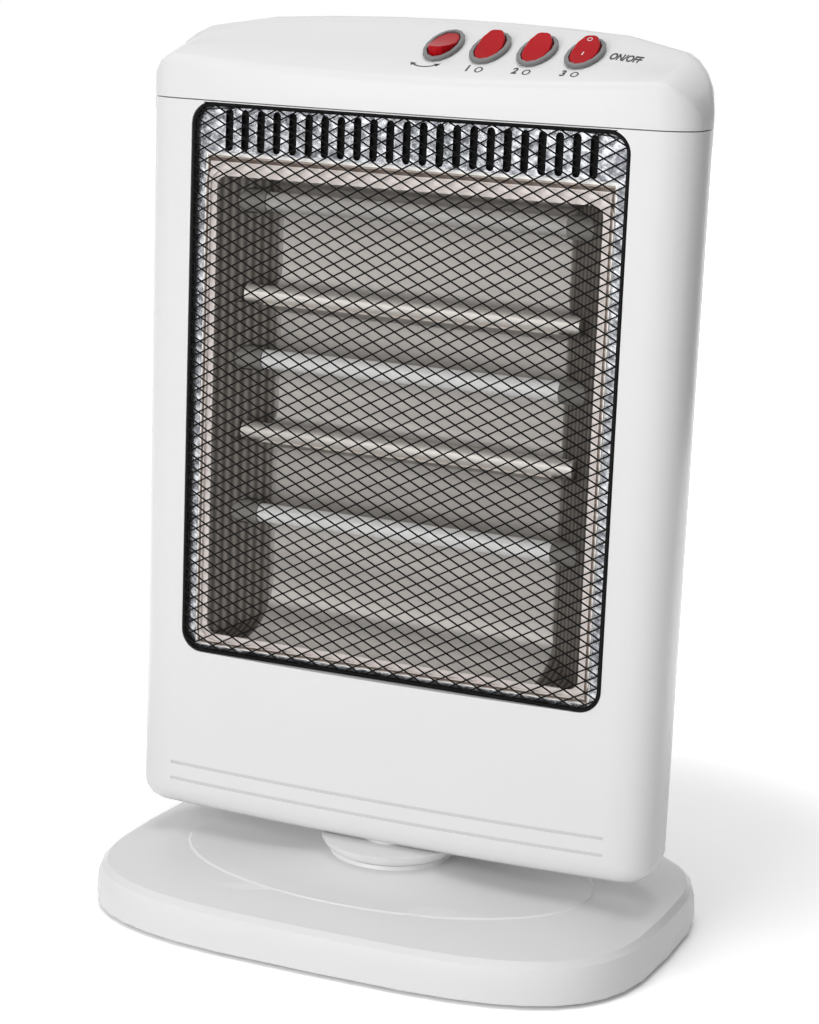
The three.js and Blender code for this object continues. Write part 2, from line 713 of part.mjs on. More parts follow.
addPiece(stand, "tip_switch_body", tipSwitchBody(), DARK_PLASTIC).position.y = TIP_Y;
addPiece(stand, "tip_plunger", tipPlunger(), DARK_PLASTIC).position.y = TIP_Y;

// ---------------------------------------------------------------- housing outline
const CROWN_CENTRE_Y = FRONT_CROWN_RADIUS - HOUSING_FRONT;
const CORNER_X = HOUSING_HALF_WIDTH - CORNER_RADIUS;
const CORNER_Y = CROWN_CENTRE_Y - Math.sqrt((FRONT_CROWN_RADIUS - CORNER_RADIUS) ** 2 - CORNER_X ** 2);
const CROWN_ANGLE = Math.atan2(CORNER_X, CROWN_CENTRE_Y - CORNER_Y);
const FRONT_STEPS = 8;
const CORNER_STEPS = 5;
const REAR_STEPS = 20;
const EDGE_STEPS = 4;

// Outline of the housing in plan, drawn in by inset: crowned front, round corners, curved rear.
function housingOutline(inset) {
  const points = [];
  const crown = FRONT_CROWN_RADIUS - inset;
  for (let i = 0; i <= FRONT_STEPS; i++) {
    const angle = CROWN_ANGLE * ((2 * i) / FRONT_STEPS - 1);
    points.push(new THREE.Vector2(crown * Math.sin(angle), CROWN_CENTRE_Y - crown * Math.cos(angle)));
  }
  const corner = [];
  for (let i = 1; i <= CORNER_STEPS; i++) {
    const angle = CROWN_ANGLE + (Math.PI / 2 - CROWN_ANGLE) * (i / CORNER_STEPS);
    const radius = CORNER_RADIUS - inset;
    corner.push(new THREE.Vector2(CORNER_X + radius * Math.sin(angle), CORNER_Y - radius * Math.cos(angle)));
  }
  points.push(...corner);
  const halfWidth = HOUSING_HALF_WIDTH - inset;
  for (let i = 0; i <= REAR_STEPS; i++) {
    const angle = (i / REAR_STEPS) * Math.PI;
    const x = halfWidth * signedPower(Math.cos(angle), 2 / REAR_POWER);
    const y = REAR_START + (REAR_DEPTH - inset) * Math.sin(angle) ** (2 / REAR_POWER);
    points.push(new THREE.Vector2(x, y));
  }
  points.push(...corner.reverse().map((point) => new THREE.Vector2(-point.x, point.y)));
  return points;
}

const SPIGOT_INSET = CAP_WALL + SPIGOT_PLAY;
const SPIGOT_TOP = HOUSING_TOP + SPIGOT_HEIGHT;

// Rings of the housing's skin; wall draws them in for the inside.
function housingRings(wall) {
  const bottom = HOUSING_BOTTOM + wall;
  const radius = HOUSING_EDGE_RADIUS - wall;
  const edgeSteps = EDGE_STEPS;
  const rings = [];
  for (let step = 0; step <= edgeSteps; step++) {
    const angle = (step / edgeSteps) * (Math.PI / 2);
    const inset = HOUSING_TAPER + wall + radius * (1 - Math.sin(angle));
    rings.push(atHeight(housingOutline(inset), bottom + radius * (1 - Math.cos(angle))));
  }
  const spigotWall = SPIGOT_INSET + wall;
  if (wall > 0) {
    rings.push(atHeight(housingOutline(wall), HOUSING_TOP - 3 * wall));
    rings.push(atHeight(housingOutline(spigotWall), HOUSING_TOP - wall));
    rings.push(atHeight(housingOutline(spigotWall), SPIGOT_TOP + PAST));
  } else {
    rings.push(atHeight(housingOutline(0), HOUSING_TOP));
    rings.push(atHeight(housingOutline(spigotWall), HOUSING_TOP));
    rings.push(atHeight(housingOutline(spigotWall), SPIGOT_TOP));
  }
  return rings;
}

const FAR = 400; // past every face of the heater
const housingBlock = loft(housingRings(0));
const housingHollow = loft(housingRings(HOUSING_WALL));

const windowOutline = (grow) =>
  roundedRectangle(
    -WINDOW_HALF_WIDTH - grow,
    WINDOW_HALF_WIDTH + grow,
    WINDOW_BOTTOM - grow,
    WINDOW_TOP + grow,
    WINDOW_RADIUS + grow,
  );

// A shallow groove across the front, following its crown.
function frontGroove(z) {
  const plan = (inset) =>
    raised(new THREE.Shape(housingOutline(inset)), z - GROOVE_WIDTH / 2, z + GROOVE_WIDTH / 2);
  const inset = HOUSING_TAPER * (1 - (z - HOUSING_BOTTOM) / (HOUSING_TOP - HOUSING_BOTTOM));
  return new Body(plan(-PAST))
    .cut(plan(inset + GROOVE_DEPTH))
    .meet(box(-GROOVE_HALF_LENGTH, GROOVE_HALF_LENGTH, -FAR, 0, 0, FAR)).geometry;
}

const HUB_HOLE_RADIUS = HUB_RADIUS + SEAT;
const hubHole = new THREE.CylinderGeometry(HUB_HOLE_RADIUS, HUB_HOLE_RADIUS, 6 * HOUSING_WALL, WIDE_CIRCLE)
  .rotateX(Math.PI / 2)
  .translate(0, 0, HOUSING_BOTTOM);

function frontCover() {
  const frame = ringAround(
    (shape) => runBack(shape, -FAR, PLATE_FRONT - SEAT),
    windowOutline(WINDOW_FRAME),
    windowOutline(0),
  );
  const frameInHousing = new Body(frame).meet(housingBlock).geometry;
  return new Body(housingBlock)
    .cut(housingHollow)
    .meet(box(-FAR, FAR, -FAR, SEAM_Y - SEAT / 2, 0, FAR + HOUSING_TOP))
    .join(frameInHousing)
    .cut(runBack(windowOutline(0), -FAR, PLATE_FRONT))
    .cut(hubHole)
    .cut(...GROOVE_HEIGHTS.map(frontGroove)).geometry;
}

// ---------------------------------------------------------------- rear cover
function louvres() {
  const slots = [];
  for (const group of LOUVRE_GROUPS) {
    for (let row = 0; row < group.rows; row++) {
      const z = group.lowest + row * LOUVRE_PITCH;
      for (const x of [-LOUVRE_COLUMN_X, LOUVRE_COLUMN_X]) {
        const half = LOUVRE_HEIGHT / 2;
        const slot = roundedRectangle(
          x - LOUVRE_HALF_LENGTH,
          x + LOUVRE_HALF_LENGTH,
          z - half,
          z + half,
          half - NEARLY,
        );
        slots.push(runBack(slot, REAR_START + HOUSING_WALL * 4, FAR, 1));
      }
    }
  }
  return slots;
}

const gripOutline = (grow) =>
  roundedRectangle(
    -GRIP_HALF_WIDTH - grow,
    GRIP_HALF_WIDTH + grow,
    GRIP_Z - GRIP_HALF_HEIGHT - grow,
    GRIP_Z + GRIP_HALF_HEIGHT + grow,
    GRIP_HALF_HEIGHT * GRIP_CORNER_SHARE + grow,
  );

const HOUSING_REAR = REAR_START + REAR_DEPTH;
const GRIP_FLOOR_Y = HOUSING_REAR - GRIP_DEPTH;

function rearCover() {
  const cup = new Body(runBack(gripOutline(GRIP_WALL), GRIP_FLOOR_Y - GRIP_WALL, FAR))
    .meet(housingBlock).geometry;
  const glandHole = new THREE.CylinderGeometry(
    GLAND_RADIUS + SEAT,
    GLAND_RADIUS + SEAT,
    GRIP_DEPTH,
    MIDDLE_CIRCLE,
  )
    .translate(0, HOUSING_REAR, GLAND_Z);
  return new Body(housingBlock)
    .cut(housingHollow)
    .meet(box(-FAR, FAR, SEAM_Y + SEAT / 2, FAR, 0, FAR + HOUSING_TOP))
    .join(cup)
    .cut(runBack(gripOutline(0), GRIP_FLOOR_Y, FAR))
    .cut(glandHole, hubHole)
    .cut(...louvres()).geometry;
}

addPiece(head, "front_cover", frontCover(), WHITE);
addPiece(head, "rear_cover", rearCover(), WHITE);
const glandPiece = addPiece(head, "cord_gland", gland(), DARK_PLASTIC);
glandPiece.rotation.x = -Math.PI / 2;
glandPiece.position.set(0, HOUSING_REAR, GLAND_Z);

// ---------------------------------------------------------------- face plate and guard
const recessOutline = (grow) =>
  roundedRectangle(
    -RECESS_HALF_WIDTH - grow,
    RECESS_HALF_WIDTH + grow,
    RECESS_BOTTOM - grow,
    RECESS_TOP + grow,
    RECESS_RADIUS + grow,
  );

function facePlate() {
  const bead = ringAround(
    (shape) => runBack(shape, PLATE_FRONT - BEAD_HEIGHT, PLATE_FRONT + PLATE_THICKNESS / 2),
    recessOutline(BEAD_OUT + BEAD_WIDTH),
    recessOutline(BEAD_OUT),
  );
  const slots = [];
  for (let i = 0; i < SLOT_COUNT; i++) {
    const x = (i - (SLOT_COUNT - 1) / 2) * SLOT_PITCH;
    const half = SLOT_WIDTH / 2;
    const slot = roundedRectangle(
      x - half,
      x + half,
      SLOT_MIDDLE_Z - SLOT_LENGTH / 2,
      SLOT_MIDDLE_Z + SLOT_LENGTH / 2,
      half - NEARLY,
    );
    slots.push(runBack(slot, PLATE_FRONT - PAST, PLATE_FRONT + PLATE_THICKNESS + PAST, 1));
  }
  const back = PLATE_FRONT + PLATE_THICKNESS;
  return new Body(runBack(windowOutline(PLATE_MARGIN), PLATE_FRONT, back))
    .meet(loft(housingRings(HOUSING_WALL + SEAT)))
    .join(bead)
    .cut(runBack(recessOutline(0), PLATE_FRONT - 4 * PAST, back + PAST))
    .cut(...slots).geometry;
}

const RIM_BACK = PLATE_FRONT - SEAT;
const GUARD_BACK = RIM_BACK - RIM_DEPTH - SEAT;

function guardRim() {
  return ringAround(
    (shape) => runBack(shape, RIM_BACK - RIM_DEPTH, RIM_BACK),
    windowOutline(-FIT),
    windowOutline(-FIT - RIM_WIDTH),
  );
}

// One layer of crossing wires as a regular net: a small diamond where wires cross, and a strip
// to each of its neighbours.
function flatNet(y0, y1) {
  const [cellX, cellZ] = [GUARD_CELL_WIDTH / 2, GUARD_CELL_HEIGHT / 2];
  const middleZ = (WINDOW_BOTTOM + WINDOW_TOP) / 2;
  const columns = Math.ceil(WINDOW_HALF_WIDTH / cellX) + 1;
  const rows = Math.ceil((WINDOW_TOP - WINDOW_BOTTOM) / 2 / cellZ) + 1;
  const slant = Math.hypot(cellX, cellZ);
  const [tipX, tipZ] = [(GUARD_WIRE / 2) * (slant / cellZ), (GUARD_WIRE / 2) * (slant / cellX)];
  const triangles = [];
  const corner = (column, row, dx, dz, y) => [
    column * cellX + dx * tipX,
    y,
    middleZ + row * cellZ + dz * tipZ,
  ];
  const face = (corners) => {
    const front = corners.map((at) => corner(...at, y0));
    const back = corners.map((at) => corner(...at, y1));
    triangles.push(front[0], front[1], front[2], front[0], front[2], front[3]);
    triangles.push(back[0], back[2], back[1], back[0], back[3], back[2]);
  };
  const wall = (from, to) => {
    const [a, b] = [corner(...from, y0), corner(...to, y0)];
    const [c, d] = [corner(...from, y1), corner(...to, y1)];
    triangles.push(a, b, d, a, d, c);
  };
  const inside = (column, row) => Math.abs(column) <= columns && Math.abs(row) <= rows;
  for (let column = -columns; column <= columns; column++) {
    for (let row = -rows; row <= rows; row++) {
      if ((column + row) % 2 !== 0) continue;
      const north = [column, row, 0, 1];
      const east = [column, row, 1, 0];
      const south = [column, row, 0, -1];
      const west = [column, row, -1, 0];
      face([north, west, south, east]);
      const up = inside(column + 1, row + 1);
      const down = inside(column + 1, row - 1);
      if (up) {
        const [nearNorth, nearEast] = [north, east];
        const farWest = [column + 1, row + 1, -1, 0];
        const farSouth = [column + 1, row + 1, 0, -1];
        face([nearNorth, nearEast, farSouth, farWest]);
        wall(nearNorth, farWest);
        wall(farSouth, nearEast);
      } else {
        wall(north, east);
      }
      if (down) {
        const farNorth = [column + 1, row - 1, 0, 1];
        const farWest = [column + 1, row - 1, -1, 0];
        face([east, south, farWest, farNorth]);
        wall(east, farNorth);
        wall(farWest, south);
      } else {
        wall(east, south);
      }
      if (!inside(column - 1, row + 1)) wall(west, north);
      if (!inside(column - 1, row - 1)) wall(south, west);
    }
  }
  const geometry = new THREE.BufferGeometry();
  geometry.setAttribute("position", new THREE.Float32BufferAttribute(triangles.flat(), 3));
  return geometry;
}

// The net is crowned forward: steepest at its border and flat in the middle.
function pressedForward(geometry) {
  const position = geometry.attributes.position;
  for (let i = 0; i < position.count; i++) {
    const toSide = WINDOW_HALF_WIDTH - Math.abs(position.getX(i));
    const toBottom = position.getZ(i) - WINDOW_BOTTOM;
    const toTop = WINDOW_TOP - position.getZ(i);
    const inward = Math.min(toSide, toBottom, toTop) - GUARD_BORDER - FIT;
    const share = THREE.MathUtils.clamp(inward / WINDOW_HALF_WIDTH, 0, 1);
    position.setY(i, position.getY(i) - GUARD_BULGE * (1 - (1 - share) ** 2));
  }
  geometry.computeVertexNormals();
  return geometry;
}

function guardMesh() {
  const front = GUARD_BACK - GUARD_THICKNESS;
  const border = ringAround(
    (shape) => runBack(shape, front, GUARD_BACK),
    windowOutline(-FIT),
    windowOutline(-FIT - GUARD_BORDER),
  );
  const net = new Body(flatNet(front, GUARD_BACK))
    .meet(runBack(windowOutline(-FIT - GUARD_BORDER / 2), front - PAST, GUARD_BACK + PAST))
    .join(border).geometry;
  return pressedForward(net);
}

addPiece(head, "face_plate", facePlate(), BRIGHT_ALUMINIUM);
addPiece(head, "guard_rim", guardRim(), BLACK_WIRE);
addPiece(head, "guard_mesh", guardMesh(), BLACK_WIRE);

// ---------------------------------------------------------------- reflector
const FLANGE_FRONT = PLATE_FRONT + PLATE_THICKNESS + SEAT;
const FLANGE_BACK = FLANGE_FRONT + REFLECTOR_SHEET;
const lampHeights = Array.from(
  { length: LAMP_COUNT },
  (_, i) => LAMP_MIDDLE_Z + LAMP_PITCH * ((LAMP_COUNT - 1) / 2 - i),
);
const cuspHeights = Array.from(
  { length: LAMP_COUNT - 1 },
  (_, i) => LAMP_MIDDLE_Z - CUSPS_BELOW + CUSP_PITCH * (i - (LAMP_COUNT - 2) / 2),
);

// Where the splayed side wall stands at a depth y.
function sideWallX(y) {
  const share = (y - FLANGE_FRONT) / (REFLECTOR_BACK - FLANGE_FRONT);
  return RECESS_HALF_WIDTH - REFLECTOR_SPLAY * share;
}

// A curve from an edge to the back wall, rise above the edge or below it.
function fold(edgeY, edgeZ, rise) {
  const curve = new THREE.QuadraticBezierCurve(
    new THREE.Vector2(edgeY, edgeZ),
    new THREE.Vector2(REFLECTOR_BACK, edgeZ + rise * FOLD_LEAN_SHARE),
    new THREE.Vector2(REFLECTOR_BACK, edgeZ + rise),
  );
  return curve.getPoints(FOLD_STEPS).map((point) => [point.x, point.y]);
}

// Section through the recess: a bay behind each lamp, a sharp cusp between neighbours, a curved
// floor and roof. Grow is the thickness of the sheet, or nothing for the inside.
function recessSection(grow) {
  const front = FLANGE_FRONT - PAST;
  const floor = fold(FLANGE_FRONT, RECESS_BOTTOM, FLOOR_FOLD);
  const roof = fold(FLANGE_FRONT, RECESS_TOP, -FOLD_DOWN).reverse();
  const cusps = cuspHeights.flatMap((z) => [
    ...fold(CUSP_Y, z, -FOLD_DOWN).reverse(),
    ...fold(CUSP_Y, z, FOLD_UP).slice(1),
  ]);
  const grown = [...floor.slice(1), ...cusps, ...roof.slice(0, -1)].map(([y, z]) => [y + grow, z]);
  return polygon([
    [front, RECESS_BOTTOM - grow],
    [FLANGE_FRONT, RECESS_BOTTOM - grow],
    ...grown,
    [FLANGE_FRONT, RECESS_TOP + grow],
    [front, RECESS_TOP + grow],
  ]);
}

function recessSolid(grow) {
  const front = FLANGE_FRONT - PAST;
  const back = REFLECTOR_BACK + 2 * PAST;
  const plan = polygon([
    [-sideWallX(front) - grow, front],
    [sideWallX(front) + grow, front],
    [sideWallX(back) + grow, back],
    [-sideWallX(back) - grow, back],
  ]);
  return new Body(runAcross(recessSection(grow), -FAR, FAR)).meet(raised(plan, 0, FAR + RECESS_TOP))
    .geometry;
}

const lampHole = (z) =>
  new THREE.CylinderGeometry(LAMP_CAP_RADIUS + FIT, LAMP_CAP_RADIUS + FIT, FAR, SMALL_CIRCLE)
    .rotateZ(Math.PI / 2)
    .translate(0, LAMP_Y, z);

function reflector() {
  const flange = runBack(recessOutline(REFLECTOR_FLANGE), FLANGE_FRONT, FLANGE_BACK);
  return new Body(recessSolid(REFLECTOR_SHEET))
    .meet(box(-FAR, FAR, FLANGE_FRONT, FAR, 0, FAR + RECESS_TOP))
    .join(flange)
    .cut(recessSolid(0))
    .cut(...lampHeights.map(lampHole)).geometry;
}

addPiece(head, "reflector", reflector(), BRIGHT_ALUMINIUM);

// ---------------------------------------------------------------- lamps and their hangers
const CAP_START = LAMP_HALF_LENGTH - LAMP_SOCKET;
const CAP_END = CAP_START + LAMP_CAP_LENGTH;
const HANGER_X = CAP_END + SEAT;

function lampTube() {
  const half = LAMP_HALF_LENGTH - SEAT;
  const dome = LAMP_RADIUS * LAMP_DOME_SHARE;
  const [shoulder, rise] = [LAMP_RADIUS * LAMP_SHOULDER_SHARE, dome * LAMP_SHOULDER_RISE_SHARE];
  return turned(
    [
      [0, -half],
      [shoulder, -half + rise],
      [LAMP_RADIUS, -half + dome],
      [LAMP_RADIUS, half - dome],
      [shoulder, half - rise],
      [0, half],
    ],
    SMALL_CIRCLE,
  );
}

function lampCap() {
  const socketEnd = LAMP_HALF_LENGTH;
  const stubEnd = CAP_END + LAMP_STUB_LENGTH;
  return turned(
    [
      [0, socketEnd],
      [LAMP_RADIUS + SEAT, socketEnd],
      [LAMP_RADIUS + SEAT, CAP_START],
      [LAMP_CAP_RADIUS - 0.5, CAP_START],
      [LAMP_CAP_RADIUS, CAP_START + 1],
      [LAMP_CAP_RADIUS, CAP_END],
      [LAMP_STUB_RADIUS, CAP_END],
      [LAMP_STUB_RADIUS, stubEnd],
      [0, stubEnd],
    ],
    LAMP_CAP_CIRCLE,
  );
}

// A folded strip behind the flange with a hole for each lamp's stub.
function lampHanger() {
  const top = lampHeights[0] + 3 * LAMP_CAP_RADIUS;
  const bottom = lampHeights[LAMP_COUNT - 1] - 3 * LAMP_CAP_RADIUS;
  const front = FLANGE_BACK + SEAT;
  const web = box(0, HANGER_THICKNESS, front, front + HANGER_DEPTH, bottom, top);
  const lip = box(0, REFLECTOR_FLANGE - 2, front, front + HANGER_THICKNESS, bottom, top);
  const stubHole = LAMP_STUB_RADIUS + SEAT;
  const stubHoles = lampHeights.map((z) =>
    new THREE.CylinderGeometry(stubHole, stubHole, STUB_HOLE_LENGTH, SMALL_CIRCLE)
      .rotateZ(Math.PI / 2)
      .translate(0, LAMP_Y, z),
  );
  return new Body(web).join(lip).cut(...stubHoles).geometry;
}

lampHeights.forEach((z, i) => {
  const tube = addPiece(head, `lamp_${i + 1}`, lampTube(), LAMP_GLASS);
  tube.rotation.y = Math.PI / 2;
  tube.position.set(0, LAMP_Y, z);
  for (const [side, turn] of [["left", -1], ["right", 1]]) {
    const cap = addPiece(head, `lamp_${i + 1}_cap_${side}`, lampCap(), CERAMIC);
    cap.rotation.y = (turn * Math.PI) / 2;
    cap.position.set(0, LAMP_Y, z);
  }
});
const rightHanger = addPiece(head, "lamp_hanger_right", lampHanger(), STEEL);
rightHanger.position.x = HANGER_X;
const mirrored = new Body(lampHanger().scale(-1, 1, 1)).geometry;
addPiece(head, "lamp_hanger_left", mirrored, STEEL).position.x = -HANGER_X;

const cutoutProfile = [
  [0, 0],
  [CUTOUT_RADIUS, 0],
  [CUTOUT_RADIUS, CUTOUT_LENGTH * CUTOUT_STEP_SHARE],
  [CUTOUT_RADIUS * CUTOUT_TOP_SHARE, CUTOUT_LENGTH],
  [0, CUTOUT_LENGTH],
];
const cutout = addPiece(head, "thermal_cutout", turned(cutoutProfile, SMALL_CIRCLE), STEEL);
cutout.rotation.x = -Math.PI / 2;
cutout.position.set(0, REFLECTOR_BACK + REFLECTOR_SHEET + SEAT, LAMP_MIDDLE_Z);

// ---------------------------------------------------------------- cap
const CAP_BOTTOM = HOUSING_TOP + CAP_GAP;

// Front and rear of the housing's outline at x, drawn in by inset.
function outlineAt(x, inset) {
  const across = Math.abs(x);
  const crown = FRONT_CROWN_RADIUS - inset;
  const corner = CORNER_RADIUS - inset;
  const onCrown = across <= crown * Math.sin(CROWN_ANGLE);
  const overCorner = Math.min(across - CORNER_X, corner);
  const front = onCrown
    ? CROWN_CENTRE_Y - Math.sqrt(crown ** 2 - across ** 2)
    : CORNER_Y - Math.sqrt(corner ** 2 - overCorner ** 2);
  const share = Math.min(across / (HOUSING_HALF_WIDTH - inset), 1);
  const rear = REAR_START + (REAR_DEPTH - inset) * (1 - share ** REAR_POWER) ** (1 / REAR_POWER);
  return { front, rear };
}

// How much of the cap's height is left at x: full in the middle, round at the ends.
function endRounding(x, inset) {
  const share = Math.abs(x) / (HOUSING_HALF_WIDTH - inset);
  return (1 - share ** CAP_END_POWER) ** (1 / CAP_END_ROUND);
}

function capHeights(x, inset) {
  const rounding = endRounding(x, inset);
  const ridge = (CAP_PEAK - CAP_CROWN * x ** 2) * rounding - inset;
  const crease = Math.min(CAP_CREASE + CAP_CREASE_SMILE * x ** 2, CREASE_LIMIT_SHARE * ridge) - inset / 2;
  return { ridge, crease: Math.min(crease, CREASE_LIMIT_SHARE * ridge) };
}

// Height of the flat panel at a point of the plan.
function panelHeight(x, y) {
  const { front, rear } = outlineAt(x, 0);
  const { ridge, crease } = capHeights(x, 0);
  const share = (y - front) / (rear - front) / PANEL_END;
  return CAP_BOTTOM + crease + (PANEL_END_HEIGHT * ridge - crease) * share;
}

// One section of the cap at x: fascia, crease, panel, round ridge and rear.
function capSection(x, inset) {
  const { front, rear } = outlineAt(x, inset);
  const { ridge, crease } = capHeights(x, inset);
  const depth = rear - front;
  const rise = PANEL_END_HEIGHT * ridge - crease;
  const bottom = inset > 0 ? -PAST : 0;
  const rows = [
    [0, bottom],
    ...CREASE_PROFILE_SHARES.map(([share, height]) => [share, crease * height]),
    [PANEL_START_SHARE, crease + rise * (PANEL_START_SHARE / PANEL_END)],
    [PANEL_END / 2, crease + rise / 2],
    [PANEL_END, PANEL_END_HEIGHT * ridge],
    [(PANEL_END + RIDGE_SHARE) / 2, ridge * RIDGE_LEAD_SHARE],
    [RIDGE_SHARE, ridge],
    ...REAR_PROFILE_SHARES.map(([share, height]) => [share, ridge * height]),
    [1, bottom],
  ];
  return rows.map(([share, z]) => new THREE.Vector3(x, front + depth * share, CAP_BOTTOM + z));
}

// Sections stand where the housing's front and corners have their own corners, so the two meet.
function capLoft(inset) {
  const frontCount = FRONT_STEPS + 1 + CORNER_STEPS;
  const across = housingOutline(inset).slice(0, frontCount);
  const half = HOUSING_HALF_WIDTH - inset;
  const stations = across.map((point) => point.x).filter((x) => x > 1);
  stations[stations.length - 1] = half * CAP_END_SHARE;
  const mirrored = stations.map((x) => -x).reverse();
  return loft([...mirrored, 0, ...stations].map((x) => capSection(x, inset)));
}

// A frame on the panel at x and y: local x across, local y up the slope, local z out of it.
function panelFrame(x, y) {
  const frame = new THREE.Group();
  const step = 2;
  const slopeX = (panelHeight(x + step, y) - panelHeight(x - step, y)) / (2 * step);
  const slopeY = (panelHeight(x, y + step) - panelHeight(x, y - step)) / (2 * step);
  const out = new THREE.Vector3(-slopeX, -slopeY, 1).normalize();
  const across = new THREE.Vector3(1, 0, slopeX).normalize();
  const up = new THREE.Vector3().crossVectors(out, across);
  const basis = new THREE.Matrix4().makeBasis(across, up, out);
  frame.quaternion.setFromRotationMatrix(basis);
  frame.position.set(x, y, panelHeight(x, y));
  return frame;
}

const switchFrames = Array.from({ length: SWITCH_COUNT }, (_, i) =>
  panelFrame(SWITCH_FIRST_X + i * SWITCH_PITCH, SWITCH_Y),
);

const ovalPlug = (halfWidth, halfLength, z0, z1) => raised(ellipse(halfWidth, halfLength), z0, z1);

function topCap() {
  const holes = switchFrames.map((frame) => {
    frame.updateMatrix();
    const plug = ovalPlug(BARREL_HALF_WIDTH + SEAT, BARREL_HALF_LENGTH + SEAT, -BARREL_DEPTH, PAST * 4);
    return plug.applyMatrix4(frame.matrix);
  });
  return new Body(capLoft(0)).cut(capLoft(CAP_WALL)).cut(...holes).geometry;
}

// Bezel and barrel are one moulding, open for the rocker.
function switchHousing() {
  const cavityDepth = ROCKER_PIVOT_DEPTH + ROCKER_BELOW + CAVITY_SPARE;
  const cavity = ovalPlug(
    ROCKER_HALF_WIDTH + FIT,
    ROCKER_RADIUS + ROCKER_END_PLAY,
    -cavityDepth,
    BEZEL_HEIGHT + PAST,
  );
  const [lipWidth, lipLength] = [BEZEL_HALF_WIDTH - BEZEL_EDGE, BEZEL_HALF_LENGTH - BEZEL_EDGE];
  const lip = new THREE.ExtrudeGeometry(ellipse(lipWidth, lipLength), {
    depth: BEZEL_HEIGHT - SEAT - BEZEL_EDGE,
    bevelThickness: BEZEL_EDGE,
    bevelSize: BEZEL_EDGE,
    bevelSegments: 1,
    curveSegments: BEZEL_CURVE,
  }).translate(0, 0, SEAT + BEZEL_EDGE);
  const under = box(-FAR, FAR, -FAR, FAR, -FAR, SEAT);
  const bezel = new Body(lip).cut(under).geometry;
  return new Body(ovalPlug(BARREL_HALF_WIDTH, BARREL_HALF_LENGTH, -BARREL_DEPTH, SEAT + 1))
    .join(bezel)
    .cut(cavity).geometry;
}

// Side profile of a rocker round its pivot: round ends, a shallow V on top.
function rocker() {
  const profile = new THREE.Shape();
  const endAngle = Math.asin((ROCKER_END_HEIGHT + ROCKER_PIVOT_DEPTH) / ROCKER_RADIUS);
  const lowAngle = Math.asin(ROCKER_BELOW / ROCKER_RADIUS);
  profile.absarc(0, 0, ROCKER_RADIUS, -lowAngle, endAngle, false);
  profile.lineTo(0, ROCKER_MIDDLE_HEIGHT + ROCKER_PIVOT_DEPTH);
  profile.absarc(0, 0, ROCKER_RADIUS, Math.PI - endAngle, Math.PI + lowAngle, false);
  const outline = ovalPlug(ROCKER_HALF_WIDTH, ROCKER_RADIUS + ROCKER_END_EDGE, -FAR, FAR);
  return new Body(runAcross(profile, -FAR, FAR)).meet(outline).geometry;
}

addPiece(head, "top_cap", topCap(), WHITE);
switchFrames.forEach((frame, i) => {
  head.add(frame);
  addPiece(frame, `switch_${i + 1}`, switchHousing(), GREY_PLASTIC);
  const pressed = addPiece(frame, `rocker_${i + 1}`, rocker(), RED_PLASTIC);
  pressed.position.z = -ROCKER_PIVOT_DEPTH;
  pressed.rotation.x = ROCKERS_PRESSED_AT_FRONT.includes(i) ? ROCKER_TILT : -ROCKER_TILT;
});

// ---------------------------------------------------------------- swing motor
const CRANK_Z = STUD_TOP + CRANK_RISE;
const BRIDGE_Z = CRANK_Z + CRANK_THICKNESS + CRANK_HUB_HEIGHT + SEAT;
const MOTOR_Z = BRIDGE_Z + BRIDGE_THICKNESS + SEAT;

function crank() {
  const disc = slottedBar(CRANK_HUB_RADIUS, 0, CRANK_THROW);
  const hubTop = CRANK_Z + CRANK_THICKNESS + CRANK_HUB_HEIGHT - SEAT;
  const cylinder = (radius, y, z0, z1) =>
    new THREE.CylinderGeometry(radius, radius, z1 - z0, MIDDLE_CIRCLE)
      .rotateX(Math.PI / 2)
      .translate(0, y, (z0 + z1) / 2);
  return new Body(raised(disc, CRANK_Z, CRANK_Z + CRANK_THICKNESS))
    .join(cylinder(CRANK_HUB_RADIUS, 0, CRANK_Z + PAST, hubTop))
    .join(cylinder(CRANK_PIN_RADIUS, CRANK_THROW, ARM_Z - 1, CRANK_Z + PAST))
    .cut(cylinder(SHAFT_RADIUS + SEAT, 0, CRANK_Z + PAST / 2, hubTop + PAST)).geometry;
}

function motor() {
  const top = MOTOR_Z + MOTOR_HEIGHT;
  const shaftEnd = CRANK_Z + PAST;
  return turned(
    [
      [0, shaftEnd],
      [SHAFT_RADIUS, shaftEnd],
      [SHAFT_RADIUS, MOTOR_Z],
      [MOTOR_RADIUS - 1, MOTOR_Z],
      [MOTOR_RADIUS, MOTOR_Z + 1],
      [MOTOR_RADIUS, top - 2],
      [MOTOR_RADIUS - 2, top],
      [0, top],
    ],
    CIRCLE,
  );
}

// A folded steel bridge over the arm that carries the motor.
function motorBridge() {
  const [top, foot] = [BRIDGE_Z + BRIDGE_THICKNESS, FLOOR_TOP + SEAT];
  const half = BRIDGE_HALF_WIDTH;
  const outer = half + BRIDGE_FOOT;
  const inner = half - BRIDGE_THICKNESS;
  const section = polygon([
    [-outer, foot],
    [-inner, foot],
    [-inner, BRIDGE_Z],
    [inner, BRIDGE_Z],
    [inner, foot],
    [outer, foot],
    [outer, foot + BRIDGE_THICKNESS],
    [half, foot + BRIDGE_THICKNESS],
    [half, top],
    [-half, top],
    [-half, foot + BRIDGE_THICKNESS],
    [-outer, foot + BRIDGE_THICKNESS],
  ]);
  const radius = SHAFT_RADIUS + SHAFT_SPACE;
  const shaftHole = new THREE.CylinderGeometry(radius, radius, 4 * BRIDGE_THICKNESS, MIDDLE_CIRCLE)
    .rotateX(Math.PI / 2)
    .translate(0, MOTOR_OFFSET, BRIDGE_Z);
  const [y0, y1] = [MOTOR_OFFSET - BRIDGE_DEPTH / 2, MOTOR_OFFSET + BRIDGE_DEPTH / 2];
  return new Body(runBack(section, y0, y1)).cut(shaftHole).geometry;
}

